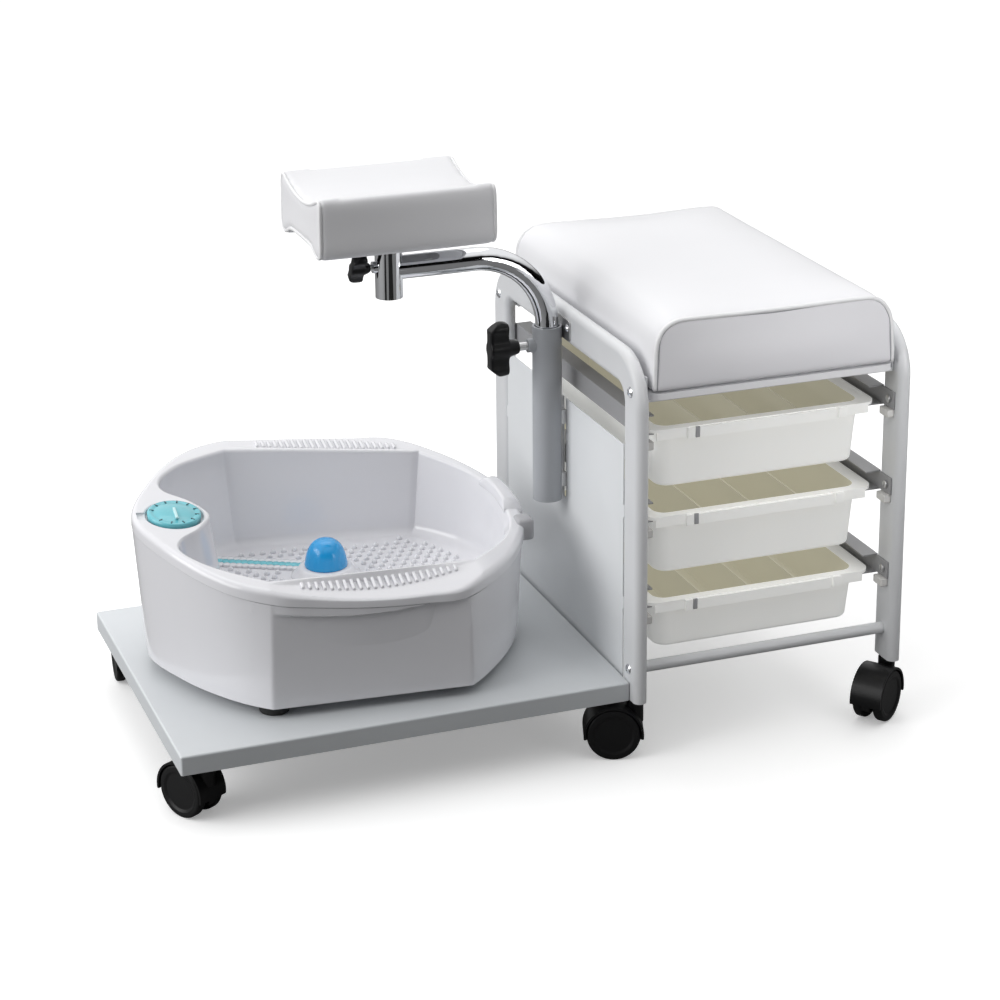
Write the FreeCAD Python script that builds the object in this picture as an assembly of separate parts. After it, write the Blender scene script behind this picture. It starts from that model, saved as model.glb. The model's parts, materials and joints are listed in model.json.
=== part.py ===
import FreeCAD, Part
import math
import os

from FreeCAD import Vector

# Pedicure trolley: a cushioned stool over three drawers, joined to a low platform that carries a loose
# foot bath, with a padded footrest on a swinging arm. Millimetres, +X from the platform end to the stool
# end, the drawers open towards -Y, +Z up, z = 0 is the floor and the origin is under the middle.

# ---- driving dimensions ----
PLATFORM_LEFT = -348.5
PLATFORM_HALF_DEPTH = 172.0
PLATFORM_TOP = 74.5
PLATFORM_THICK = 18.0
SHEET = 1.2

LEFT_FRAME_X = 81.0
RIGHT_FRAME_X = 342.0
LEG_Y = 168.0
FRAME_TOP = 388.5
TUBE_DEEP = 34.0
TUBE_WIDE = 13.0
TUBE_WALL = 1.5
CORNER_RADIUS = 32.0
LEG_BOTTOM = PLATFORM_TOP - PLATFORM_THICK

WHEEL_RADIUS = 25.0
WHEEL_WIDE = 9.5
WHEEL_GAP = 11.0
CASTER_TRAIL = 20.0
HOOD_RADIUS = 28.0
HOOD_THICK = 2.2
STEM_RADIUS = 4.0
SWIVEL_Z = 55.0
PLATFORM_CASTER_X = -321.0
PLATFORM_CASTER_Y = 149.0

SEAT_BOTTOM = 353.0
SEAT_TOP = 424.5
SEAT_BOARD_THICK = 6.0

DRAWER_PITCH = 84.2
TOP_RAIL_BOTTOM = 306.5
RAIL_HEIGHT = 19.0
RAIL_DEEP = 16.0
RAIL_SHEET = 1.5
DRAWER_RIM_HALF = 116.0
DRAWER_BODY_HALF = 104.0
DRAWER_TAPER = 4.0
DRAWER_FRONT = -158.0
DRAWER_BACK = 156.0
DRAWER_TALLS = (60.0, 60.0, 50.0)
DRAWER_LIP = 10.0
DRAWER_WALL = 2.2
RIM_THICK = 3.0

POST_X = 59.4
POST_Y = -3.0
POST_RADIUS = 14.0
POST_BORE = 12.0
POST_BOTTOM = 198.5
POST_TOP = 371.5
ARM_RADIUS = 11.0
ARM_BORE = 9.0
ARM_BEND = 72.0
ARM_BOTTOM = 244.5
SOCKET_X = -95.0
SOCKET_RADIUS = 12.7
SOCKET_BOTTOM = 416.5
SOCKET_TOP = 460.5
PAD_STEM_RADIUS = 9.5
POST_KNOB_Z = 353.5
PAD_KNOB_Z = 446.0
RUNNING = 0.05

PAD_HALF_X = 85.0
PAD_HALF_Y = 65.0
PAD_LOW = 470.5
PAD_HIGH = 534.5
PAD_DISH = 17.0
PAD_ARCH = 480.5

BATH_X = -155.0
BATH_Y = 14.0
BATH_TURN = -5.0
BATH_BOTTOM = 84.5
BATH_FLOOR = 134.5
RIM_HEIGHT = 210.9
RIM_RISE_Y = 0.12
RIM_FALL_X = 0.073
RIM_CAP = 12.0
BATH_WALL = 3.0
BATH_DRAFT = 8.0
FACET_Y = 154.0
FACET_TOP = 175.0
DIAL_X = -144.0
DIAL_RADIUS = 25.0
KNOB_X = 2.0
KNOB_Y = 26.0
KNOB_TALL = 26.5
PEDESTAL_TALL = 10.0

# ---- worked-out values ----
FRAME_MID_X = (LEFT_FRAME_X + RIGHT_FRAME_X) / 2
LEFT_OUTER = LEFT_FRAME_X - TUBE_WIDE / 2
LEFT_INNER = LEFT_FRAME_X + TUBE_WIDE / 2
RIGHT_INNER = RIGHT_FRAME_X - TUBE_WIDE / 2
RIGHT_OUTER = RIGHT_FRAME_X + TUBE_WIDE / 2
ARM_HEIGHT = POST_TOP + ARM_BEND
PAD_KNOB_FACE = SOCKET_X - SOCKET_RADIUS - 5.0
BOLT_Z = (354.5, 86.5)
BAR_Z = 86.5
BAR_RADIUS = 5.5
BOLT_RADIUS = 3.0
SCREW_RADIUS = 2.0

# name, stem x, stem y, direction in which the wheels trail (degrees from +X)
CASTERS = (
    ("platform_front", PLATFORM_CASTER_X, -PLATFORM_CASTER_Y, 120.0),
    ("platform_back", PLATFORM_CASTER_X, PLATFORM_CASTER_Y, 85.0),
    ("left_front", LEFT_FRAME_X, -LEG_Y, 160.0),
    ("left_back", LEFT_FRAME_X, LEG_Y, 40.0),
    ("right_front", RIGHT_FRAME_X, -LEG_Y, 218.0),
    ("right_back", RIGHT_FRAME_X, LEG_Y, 142.0),
)
DRAWERS = ("top", "middle", "bottom")


def box(x0, x1, y0, y1, z0, z1):
    return Part.makeBox(x1 - x0, y1 - y0, z1 - z0, Vector(x0, y0, z0))


def rod(radius, start, end):
    run = Vector(*end) - Vector(*start)
    return Part.makeCylinder(radius, run.Length, Vector(*start), run)


def ring(outer, inner, start, end):
    return rod(outer, start, end).cut(rod(inner, start, end))


def wire(points, closed=True):
    corners = [Vector(*p) for p in points]
    if closed:
        corners.append(corners[0])
    return Part.makePolygon(corners)


def prism(points, direction):
    return Part.Face(wire(points)).extrude(Vector(*direction))


def rounded_rectangle(x0, x1, y0, y1, z, radius):
    """Closed wire of a rectangle at height z with round corners."""
    mid = radius * (1 - math.sqrt(0.5))
    p = [
        ((x0 + radius, y0), (x1 - radius, y0), (x1 - mid, y0 + mid)),
        ((x1, y0 + radius), (x1, y1 - radius), (x1 - mid, y1 - mid)),
        ((x1 - radius, y1), (x0 + radius, y1), (x0 + mid, y1 - mid)),
        ((x0, y1 - radius), (x0, y0 + radius), (x0 + mid, y0 + mid)),
    ]
    edges = []
    for i, (start, end, corner) in enumerate(p):
        following = p[(i + 1) % 4][0]
        edges.append(Part.LineSegment(Vector(*start, z), Vector(*end, z)).toShape())
        edges.append(Part.Arc(Vector(*end, z), Vector(*corner, z), Vector(*following, z)).toShape())
    return Part.Wire(edges)


def fillet(shape, radius, wanted):
    """Rounds the edges for which wanted(edge) is true."""
    edges = [e for e in shape.Edges if wanted(e)]
    return shape.makeFillet(radius, edges)


def at_post(shape):
    """Footrest parts are made with the post on y = 0 and moved to their place here."""
    shape.translate(Vector(0, POST_Y, 0))
    return shape


def save(name, shape):
    if isinstance(shape, (list, tuple)):
        shape = Part.makeCompound(list(shape))
    for solid in shape.Solids:
        if not solid.isValid():
            print("invalid solid in", name)
    shape.exportStep("parts/" + name + ".step")


# ---- platform ----
def platform_tray():
    """Folded steel tray, open below, with a return lip all round its lower edge."""
    low = LEG_BOTTOM
    right = LEFT_OUTER - 0.2
    depth = PLATFORM_HALF_DEPTH
    tray = box(PLATFORM_LEFT, right, -depth, depth, low, PLATFORM_TOP)
    tray = fillet(tray, 2.0, lambda e: e.BoundBox.ZMin > low + 1 or e.BoundBox.ZLength > 10)
    inner = box(PLATFORM_LEFT + SHEET, right - SHEET, -depth + SHEET, depth - SHEET,
                low + SHEET, PLATFORM_TOP - SHEET)
    lip = 12.0
    mouth = box(PLATFORM_LEFT + lip, right - lip, -depth + lip, depth - lip, low - 1, low + SHEET + 1)
    return tray.cut(inner).cut(mouth)


def platform_stiffeners():
    """Two channels across the underside of the tray; the left one carries the caster sockets."""
    top = PLATFORM_TOP - SHEET
    bottom = LEG_BOTTOM + SHEET + 0.2
    half_length = PLATFORM_HALF_DEPTH - SHEET - 0.3
    channels = []
    for x in (PLATFORM_CASTER_X, -110.0):
        outer = box(x - 20, x + 20, -half_length, half_length, bottom, top)
        hollow = box(x - 18.5, x + 18.5, -half_length - 1, half_length + 1, bottom - 1, top - 1.5)
        channels.append(outer.cut(hollow))
    return channels


# ---- side frames ----
def oval_wire(x, y, deep, wide, z):
    """Flat-oval tube section at height z: flat faces at +-X, round ends at +-Y."""
    r = wide / 2
    flat = deep / 2 - r
    a = Vector(x - r, y - flat, z)
    b = Vector(x - r, y + flat, z)
    c = Vector(x + r, y + flat, z)
    d = Vector(x + r, y - flat, z)
    return Part.Wire([
        Part.LineSegment(a, b).toShape(),
        Part.Arc(b, Vector(x, y + deep / 2, z), c).toShape(),
        Part.LineSegment(c, d).toShape(),
        Part.Arc(d, Vector(x, y - deep / 2, z), a).toShape(),
    ])


def frame_path(x):
    """Centre line of the inverted U from the front foot to the back foot."""
    r = CORNER_RADIUS
    top = FRAME_TOP - TUBE_DEEP / 2
    k = r * (1 - math.sqrt(0.5))
    front = -LEG_Y
    back = LEG_Y
    return Part.Wire([
        Part.LineSegment(Vector(x, front, LEG_BOTTOM), Vector(x, front, top - r)).toShape(),
        Part.Arc(Vector(x, front, top - r), Vector(x, front + k, top - k),
                 Vector(x, front + r, top)).toShape(),
        Part.LineSegment(Vector(x, front + r, top), Vector(x, back - r, top)).toShape(),
        Part.Arc(Vector(x, back - r, top), Vector(x, back - k, top - k),
                 Vector(x, back, top - r)).toShape(),
        Part.LineSegment(Vector(x, back, top - r), Vector(x, back, LEG_BOTTOM)).toShape(),
    ])


def rail_bottoms():
    return [TOP_RAIL_BOTTOM - DRAWER_PITCH * i for i in range(3)]


def side_frame(x, outward):
    """Bent flat-oval tube with its bolt and screw holes; outward is -1 on the left, +1 on the right."""
    path = frame_path(x)
    outer = path.makePipeShell([oval_wire(x, -LEG_Y, TUBE_DEEP, TUBE_WIDE, LEG_BOTTOM)], True, False)
    inner = path.makePipeShell(
        [oval_wire(x, -LEG_Y, TUBE_DEEP - 2 * TUBE_WALL, TUBE_WIDE - 2 * TUBE_WALL, LEG_BOTTOM)],
        True, False)
    tube = outer.cut(inner)
    holes = []
    for y in (-LEG_Y, LEG_Y):
        for z in BOLT_Z:
            holes.append(rod(BOLT_RADIUS + RUNNING, (x - 10, y, z), (x + 10, y, z)))
        for bottom in rail_bottoms():
            z = bottom + RAIL_HEIGHT / 2
            holes.append(rod(SCREW_RADIUS + RUNNING, (x, y, z), (x - outward * 10, y, z)))
    if outward < 0:
        for y in (POST_Y - 17.0, POST_Y + 17.0):
            z = FRAME_TOP - TUBE_DEEP / 2
            holes.append(rod(SCREW_RADIUS + RUNNING, (x, y, z), (x - 10, y, z)))
    return tube.cut(holes)


def lower_cross_bars():
    bars = []
    for y in (-LEG_Y, LEG_Y):
        bar = rod(BAR_RADIUS, (LEFT_INNER, y, BAR_Z), (RIGHT_INNER, y, BAR_Z))
        for x, end in ((LEFT_INNER, 18), (RIGHT_INNER, -18)):
            bar = bar.cut(rod(BOLT_RADIUS + RUNNING, (x - end / 18, y, BAR_Z), (x + end, y, BAR_Z)))
        bars.append(bar)
    return bars


def seat_cross_bars():
    """Two flat bars between the side frames, each with its ends turned up against the legs."""
    bars = []
    low = SEAT_BOTTOM - SEAT_BOARD_THICK - 3.0
    for y in (-LEG_Y, LEG_Y):
        inward = 8.0 if y < 0 else -8.0
        bar = box(LEFT_INNER, RIGHT_INNER, y - 12 + inward, y + 12 + inward, low, low + 3.0)
        for x, side in ((LEFT_INNER, 1), (RIGHT_INNER, -1)):
            tab = box(min(x, x + side * 2), max(x, x + side * 2), y - 12 + inward, y + 12 + inward,
                      low, low + 24)
            hole = rod(BOLT_RADIUS + RUNNING, (x - side, y, BOLT_Z[0]), (x + side * 3, y, BOLT_Z[0]))
            bar = bar.fuse(tab).cut(hole)
        for x in (LEFT_INNER + 30, RIGHT_INNER - 30):
            bar = bar.cut(rod(SCREW_RADIUS + RUNNING, (x, y + inward, low - 1), (x, y + inward, low + 4)))
        bars.append(bar.removeSplitter())
    return bars


def side_panel():
    """Sheet between the left legs, with a slot behind the post and two tabs to each leg."""
    face = LEFT_OUTER + 1.5
    top = 299.0
    half = LEG_Y - TUBE_DEEP / 2 - 1.5
    panel = box(face, face + SHEET, -half, half, PLATFORM_TOP - 12.0, top)
    panel = panel.cut(box(face - 1, face + 3, POST_Y - 6, POST_Y, POST_BOTTOM, top + 1))
    for z in (139.0, 229.0):
        for side in (-1, 1):
            tab_y = side * (half + 0.9)
            tab = box(face, face + SHEET, tab_y - 1.5, tab_y + 1.5, z, z + 12)
            panel = panel.fuse(tab.common(box(face, face + SHEET, -half - 2.2, half + 2.2, 0, 400)))
    return panel.removeSplitter()


def frame_bolts():
    """Dome-head bolts through the legs into the seat bars and the lower bars, and two at the post plate."""
    bolts = []
    for x, outward in ((LEFT_OUTER, -1), (RIGHT_OUTER, 1)):
        for y in (-LEG_Y, LEG_Y):
            for z, length in ((BOLT_Z[0], TUBE_WIDE + 2), (BOLT_Z[1], TUBE_WIDE + 14)):
                head = Part.makeSphere(6.5, Vector(x - outward * 3.8, y, z))
                head = head.common(rod(5.2, (x, y, z), (x + outward * 6, y, z)))
                socket = rod(1.6, (x + outward * 1.2, y, z), (x + outward * 6, y, z))
                shank = rod(BOLT_RADIUS, (x, y, z), (x - outward * length, y, z))
                bolts.append(head.cut(socket).fuse(shank).removeSplitter())
    for y in (POST_Y - 17.0, POST_Y + 17.0):
        z = FRAME_TOP - TUBE_DEEP / 2
        plate = LEFT_OUTER - 1.6
        head = Part.makeSphere(4.6, Vector(plate + 2.6, y, z))
        head = head.common(rod(3.7, (plate, y, z), (plate - 4, y, z)))
        bolts.append(head.fuse(rod(SCREW_RADIUS, (plate, y, z), (plate + 4, y, z))).removeSplitter())
    return bolts


def rail_screws():
    """Pan-head screws of the drawer rails and of the seat bars."""
    screws = []
    for bottom in rail_bottoms():
        z = bottom + RAIL_HEIGHT / 2
        for y in (-LEG_Y, LEG_Y):
            for x, inward in ((LEFT_INNER + RAIL_SHEET, 1), (RIGHT_INNER - RAIL_SHEET, -1)):
                head = rod(3.8, (x, y, z), (x + inward * 2.2, y, z))
                head = fillet(head, 1.0, lambda e, p=x + inward * 2.2: abs(e.BoundBox.Center.x - p) < 0.1)
                slot = box(min(x + inward * 1.4, x + inward * 3), max(x + inward * 1.4, x + inward * 3),
                           y - 0.5, y + 0.5, z - 2.5, z + 2.5)
                shank = rod(SCREW_RADIUS, (x, y, z), (x - inward * 5, y, z))
                screws.append(head.cut(slot).fuse(shank).removeSplitter())
    low = SEAT_BOTTOM - SEAT_BOARD_THICK - 3.0
    for y in (-LEG_Y + 8, LEG_Y - 8):
        for x in (LEFT_INNER + 30, RIGHT_INNER - 30):
            head = rod(3.8, (x, y, low), (x, y, low - 2))
            head = fillet(head, 0.9, lambda e: abs(e.BoundBox.Center.z - low + 2) < 0.1)
            screws.append(head.fuse(rod(SCREW_RADIUS, (x, y, low), (x, y, low + 7))).removeSplitter())
    return screws


def drawer_rails():
    """Six C-channels, open towards the middle, each with a flat tab at both ends against the legs."""
    rails = []
    half = LEG_Y + 9.0
    channel_half = -DRAWER_FRONT - 3.0
    for bottom in rail_bottoms():
        top = bottom + RAIL_HEIGHT
        for x, inward in ((LEFT_INNER, 1), (RIGHT_INNER, -1)):
            tip = x + inward * RAIL_DEEP
            web = x + inward * RAIL_SHEET
            beyond = tip + inward
            outer = box(min(x, tip), max(x, tip), -channel_half, channel_half, bottom, top)
            hollow = box(min(web, beyond), max(web, beyond), -half, half, bottom + RAIL_SHEET,
                         top - RAIL_SHEET)
            tab = box(min(x, web), max(x, web), -half, half, bottom + 1, top - 1)
            rail = outer.cut(hollow).fuse(tab).removeSplitter()
            for y in (-LEG_Y, LEG_Y):
                z = bottom + RAIL_HEIGHT / 2
                rail = rail.cut(rod(SCREW_RADIUS + RUNNING, (x - inward, y, z), (x + inward * 3, y, z)))
            rails.append(rail)
    return rails


def rail_end_stops():
    stops = []
    for bottom in rail_bottoms():
        for x, inward in ((LEFT_INNER, 1), (RIGHT_INNER, -1)):
            tip = x + inward * 7
            block = box(min(x, tip), max(x, tip), -LEG_Y - 8, -LEG_Y + 8, bottom - 7, bottom + 0.9)
            stops.append(fillet(block, 1.8, lambda e, b=bottom: e.BoundBox.ZMax < b - 6))
    return stops


# ---- stool ----
def seat_board():
    low = SEAT_BOTTOM - SEAT_BOARD_THICK
    board = box(LEFT_INNER + 2.6, RIGHT_INNER - 2.6, -178, 172, low, SEAT_BOTTOM)
    board = fillet(board, 10.0, lambda e: e.BoundBox.ZLength > SEAT_BOARD_THICK - 0.1)
    for y in (-LEG_Y + 8, LEG_Y - 8):
        for x in (LEFT_INNER + 30, RIGHT_INNER - 30):
            board = board.cut(rod(SCREW_RADIUS + RUNNING, (x, y, low - 1), (x, y, low + 4.5)))
    return board


def seat_cushion():
    """Closed block of the cushion's size with rounded top edges."""
    cushion = box(LEFT_INNER + 2.8, RIGHT_INNER - 2.8, -181, 175, SEAT_BOTTOM + 0.05, SEAT_TOP)
    cushion = fillet(cushion, 12.0, lambda e: e.BoundBox.ZLength > 20)
    return fillet(cushion, 11.0, lambda e: e.BoundBox.ZMin > SEAT_TOP - 1)


# ---- drawers ----
def drawer(rim_top, tall):
    """Tray with a flat rim that runs in the rails, a turned-down band and a finger lip at the front."""
    mid = FRAME_MID_X
    bottom = rim_top - tall
    edge = 7.0

    def section(grow, z):
        share = (rim_top - z) / tall
        half = DRAWER_BODY_HALF - DRAWER_TAPER * share + grow
        front = DRAWER_FRONT + edge + DRAWER_TAPER * share - grow
        back = DRAWER_BACK - edge - DRAWER_TAPER * share + grow
        return rounded_rectangle(mid - half, mid + half, front, back, z, 14.0 + grow)

    body = Part.makeLoft([section(0, bottom), section(0, rim_top - 0.5)], True, True)
    body = fillet(body, 4.0, lambda e: e.BoundBox.ZMax < bottom + 0.1)
    hollow = Part.makeLoft([section(-DRAWER_WALL, bottom + DRAWER_WALL), section(-DRAWER_WALL, rim_top + 2)],
                           True, True)
    rim = Part.Face(rounded_rectangle(mid - DRAWER_RIM_HALF, mid + DRAWER_RIM_HALF, DRAWER_FRONT,
                                      DRAWER_BACK, rim_top - RIM_THICK, 14.0))
    rim = rim.extrude(Vector(0, 0, RIM_THICK))
    band_half = LEFT_INNER + RAIL_DEEP + 1.5
    band = box(band_half, 2 * mid - band_half, DRAWER_FRONT, DRAWER_FRONT + 2.2, rim_top - DRAWER_LIP,
               rim_top - RIM_THICK)
    lip_left = mid - 0.66 * DRAWER_RIM_HALF
    lip_right = mid + 0.62 * DRAWER_RIM_HALF
    lip = box(lip_left, lip_right, DRAWER_FRONT - 2.5, DRAWER_FRONT, rim_top - DRAWER_LIP - 1, rim_top - 0.8)
    return body.fuse([rim, band, lip]).cut(hollow).removeSplitter()


def drawer_dividers(rim_top, tall):
    """Three thin walls that make four compartments side by side."""
    bottom = rim_top - tall + DRAWER_WALL
    low_half = DRAWER_BODY_HALF - DRAWER_TAPER - DRAWER_WALL
    walls = []
    for i in (-1, 0, 1):
        x = FRAME_MID_X + i * low_half / 2
        front = DRAWER_FRONT + 7 + DRAWER_TAPER + DRAWER_WALL + 0.3
        back = DRAWER_BACK - 7 - DRAWER_TAPER - DRAWER_WALL - 0.3
        walls.append(box(x - 0.8, x + 0.8, front, back, bottom, rim_top - 8))
    return walls


# ---- footrest ----
def arm_post():
    post = ring(POST_RADIUS, POST_BORE, (POST_X, 0, POST_BOTTOM), (POST_X, 0, POST_TOP))
    wall = POST_X - POST_RADIUS
    nut = rod(6.5, (wall - 6, 0, POST_KNOB_Z), (POST_X - POST_BORE - 0.5, 0, POST_KNOB_Z))
    nut = nut.cut(rod(POST_BORE + 0.2, (POST_X, 0, POST_BOTTOM), (POST_X, 0, POST_TOP)))
    post = post.fuse(nut)
    bore = rod(STEM_RADIUS + RUNNING, (wall - 8, 0, POST_KNOB_Z), (POST_X, 0, POST_KNOB_Z))
    return post.cut(bore).removeSplitter()


def post_brackets():
    """Plate between the post and the top rail, and two lugs between the post and the panel."""
    post = rod(POST_RADIUS + 0.02, (POST_X, 0, POST_BOTTOM - 5), (POST_X, 0, POST_TOP + 20))
    z = FRAME_TOP - TUBE_DEEP / 2
    plate = box(LEFT_OUTER - 1.6, LEFT_OUTER, -23, 23, z - 12, z + 8)
    plate = fillet(plate, 4.0, lambda e: e.BoundBox.XLength > 1.5)
    for y in (-17.0, 17.0):
        plate = plate.cut(rod(SCREW_RADIUS + RUNNING, (LEFT_OUTER - 3, y, z), (LEFT_OUTER + 1, y, z)))
    pieces = [plate.cut(post)]
    for low in (211.0, 274.0):
        lug = box(POST_X + 8, LEFT_OUTER + 1.5, -8, 8, low, low + 14)
        pieces.append(lug.cut(post).Solids[-1])
    return pieces


def footrest_arm():
    """Bent tube from inside the post up and across to the vertical socket."""
    r = ARM_BEND
    k = r * (1 - math.sqrt(0.5))
    end = SOCKET_X
    path = Part.Wire([
        Part.LineSegment(Vector(POST_X, 0, ARM_BOTTOM), Vector(POST_X, 0, POST_TOP)).toShape(),
        Part.Arc(Vector(POST_X, 0, POST_TOP), Vector(POST_X - k, 0, ARM_HEIGHT - k),
                 Vector(POST_X - r, 0, ARM_HEIGHT)).toShape(),
        Part.LineSegment(Vector(POST_X - r, 0, ARM_HEIGHT), Vector(end, 0, ARM_HEIGHT)).toShape(),
    ])

    def circle(radius):
        return Part.Wire(Part.makeCircle(radius, Vector(POST_X, 0, ARM_BOTTOM), Vector(0, 0, 1)))

    outer = path.makePipeShell([circle(ARM_RADIUS)], True, False)
    inner = path.makePipeShell([circle(ARM_BORE)], True, False)
    socket = rod(SOCKET_RADIUS, (end, 0, SOCKET_BOTTOM), (end, 0, SOCKET_TOP))
    boss = rod(5.5, (end - SOCKET_RADIUS - 3, 0, PAD_KNOB_Z), (end, 0, PAD_KNOB_Z))
    bore = rod(PAD_STEM_RADIUS + RUNNING, (end, 0, SOCKET_BOTTOM - 1), (end, 0, SOCKET_TOP + 1))
    thread = rod(3 + RUNNING, (end - 20, 0, PAD_KNOB_Z), (end, 0, PAD_KNOB_Z))
    arm = outer.cut(inner).fuse([socket, boss])
    return arm.cut(bore).cut(thread).removeSplitter()


def wing_knob(reach, thick, hub_long, x, z, tilt):
    """Two-lobed knob on an axis along -X; the hub starts at x, the lobes lie beyond it, turned by tilt."""
    wide = reach * 0.56
    across = rod(wide * 0.62, (x - hub_long, 0, z), (x - hub_long - thick, 0, z))
    for side in (-1, 1):
        tip = z + side * (reach - wide / 2)
        across = across.fuse(rod(wide / 2, (x - hub_long, 0, tip), (x - hub_long - thick, 0, tip)))
    bar = box(x - hub_long - thick, x - hub_long, -wide * 0.42, wide * 0.42, z - reach + wide / 2,
              z + reach - wide / 2)
    across = across.fuse(bar).removeSplitter()
    slope = prism([(x - hub_long + 1, -40, z + reach * 0.9), (x - hub_long + 1, -40, z - reach * 0.9),
                   (x - hub_long - thick * 0.45, -40, z - reach - 0.5),
                   (x - hub_long - thick - 1, -40, z - reach * 0.66),
                   (x - hub_long - thick - 1, -40, z + reach * 0.66),
                   (x - hub_long - thick * 0.45, -40, z + reach + 0.5)], (0, 80, 0))
    hub = Part.makeCone(wide * 0.42, wide * 0.6, hub_long + 0.5, Vector(x, 0, z), Vector(-1, 0, 0))
    knob = across.common(slope).fuse(hub).removeSplitter()
    knob.rotate(Vector(x, 0, z), Vector(1, 0, 0), tilt)
    return knob


def post_bush():
    top = POST_TOP - 0.2
    return ring(POST_BORE - 0.02, ARM_RADIUS + RUNNING, (POST_X, 0, top - 11), (POST_X, 0, top))


def arm_guide_sleeve():
    """Plastic sleeve that rides inside the post and carries the foot of the arm on its inner step."""
    outer = POST_BORE - RUNNING
    wall = ring(outer, ARM_RADIUS + RUNNING, (POST_X, 0, ARM_BOTTOM - 0.1), (POST_X, 0, ARM_BOTTOM + 37))
    step = ring(outer, 8.0, (POST_X, 0, ARM_BOTTOM - 3), (POST_X, 0, ARM_BOTTOM - 0.1))
    return wall.fuse(step).removeSplitter()


def post_knob():
    knob = wing_knob(27.0, 19.0, 11.0, 31.0, POST_KNOB_Z, 0.0)
    return knob.cut(rod(STEM_RADIUS + 0.02, (22, 0, POST_KNOB_Z), (40, 0, POST_KNOB_Z)))


def post_knob_stud():
    tip = POST_X - ARM_RADIUS - 0.3
    return rod(STEM_RADIUS, (22.5, 0, POST_KNOB_Z), (tip, 0, POST_KNOB_Z))


def pad_knob():
    knob = wing_knob(18.0, 14.0, 5.0, PAD_KNOB_FACE, PAD_KNOB_Z, 38.0)
    return knob.cut(rod(3.02, (PAD_KNOB_FACE - 9, 0, PAD_KNOB_Z), (PAD_KNOB_FACE + 4, 0, PAD_KNOB_Z)))


def pad_knob_stud():
    tip = SOCKET_X - PAD_STEM_RADIUS - 0.3
    return rod(3.0, (PAD_KNOB_FACE - 8.5, 0, PAD_KNOB_Z), (tip, 0, PAD_KNOB_Z))


def pad_stem():
    """Tube that slides in the socket, closed on top by a disc with the pivot pin of the pad."""
    low = SOCKET_BOTTOM + 4
    disc = PAD_ARCH - 6
    tube = ring(PAD_STEM_RADIUS, 7.0, (SOCKET_X, 0, low), (SOCKET_X, 0, disc))
    cap = rod(PAD_STEM_RADIUS, (SOCKET_X, 0, disc), (SOCKET_X, 0, disc + 2))
    pin = rod(5.0, (SOCKET_X, 0, disc + 2), (SOCKET_X, 0, disc + 8))
    return tube.fuse([cap, pin]).removeSplitter()


def pad_bracket():
    low = PAD_ARCH - 3.95
    plate = Part.Face(rounded_rectangle(SOCKET_X - 55, SOCKET_X + 55, -32, 32, low, 8.0))
    plate = plate.extrude(Vector(0, 0, 3))
    plate = plate.cut(rod(5.0 + RUNNING, (SOCKET_X, 0, low - 1), (SOCKET_X, 0, low + 4)))
    for x in (SOCKET_X - 45, SOCKET_X + 45):
        for y in (-22, 22):
            plate = plate.cut(rod(SCREW_RADIUS + RUNNING, (x, y, low - 1), (x, y, low + 4)))
    return plate


def pad_screws():
    low = PAD_ARCH - 3.95
    screws = []
    for x in (SOCKET_X - 45, SOCKET_X + 45):
        for y in (-22, 22):
            head = rod(3.8, (x, y, low), (x, y, low - 2.2))
            head = fillet(head, 1.0, lambda e: abs(e.BoundBox.Center.z - low + 2.2) < 0.1)
            screws.append(head.fuse(rod(SCREW_RADIUS, (x, y, low), (x, y, low + 9))).removeSplitter())
    return screws


def footrest_pad():
    """Saddle block: dished along the top, arched below, the same section from end to end in X."""
    x0 = SOCKET_X - PAD_HALF_X
    y = PAD_HALF_Y
    top_edge = y - 9
    foot = y - 14

    def at(yy, z):
        return Vector(x0, yy, z)

    edges = [
        Part.Arc(at(-top_edge, PAD_HIGH), at(0, PAD_HIGH - PAD_DISH), at(top_edge, PAD_HIGH)).toShape(),
        Part.Arc(at(top_edge, PAD_HIGH), at(y - 2, PAD_HIGH - 3), at(y, PAD_HIGH - 10)).toShape(),
        Part.LineSegment(at(y, PAD_HIGH - 10), at(y, PAD_LOW + 6)).toShape(),
        Part.Arc(at(y, PAD_LOW + 6), at(y - 3, PAD_LOW + 1), at(foot, PAD_LOW + 1)).toShape(),
        Part.LineSegment(at(foot, PAD_LOW + 1), at(35, PAD_ARCH)).toShape(),
        Part.LineSegment(at(35, PAD_ARCH), at(-35, PAD_ARCH)).toShape(),
        Part.LineSegment(at(-35, PAD_ARCH), at(-foot, PAD_LOW + 1)).toShape(),
        Part.Arc(at(-foot, PAD_LOW + 1), at(-y + 3, PAD_LOW + 1), at(-y, PAD_LOW + 6)).toShape(),
        Part.LineSegment(at(-y, PAD_LOW + 6), at(-y, PAD_HIGH - 10)).toShape(),
        Part.Arc(at(-y, PAD_HIGH - 10), at(-y + 2, PAD_HIGH - 3), at(-top_edge, PAD_HIGH)).toShape(),
    ]
    pad = Part.Face(Part.Wire(edges)).extrude(Vector(2 * PAD_HALF_X, 0, 0))
    pad = pad.cut(rod(9.0, (SOCKET_X, 0, PAD_ARCH - 12), (SOCKET_X, 0, PAD_ARCH + 6)))
    for x in (SOCKET_X - 45, SOCKET_X + 45):
        for yy in (-22, 22):
            pad = pad.cut(rod(SCREW_RADIUS + 0.5, (x, yy, PAD_ARCH - 2), (x, yy, PAD_ARCH + 8)))
    return pad


# ---- casters ----
def caster_frame(x, y, trail_angle):
    """Places a caster that was made at the origin with its wheels trailing along +X."""
    return FreeCAD.Placement(Vector(x, y, 0), FreeCAD.Rotation(Vector(0, 0, 1), trail_angle))


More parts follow.
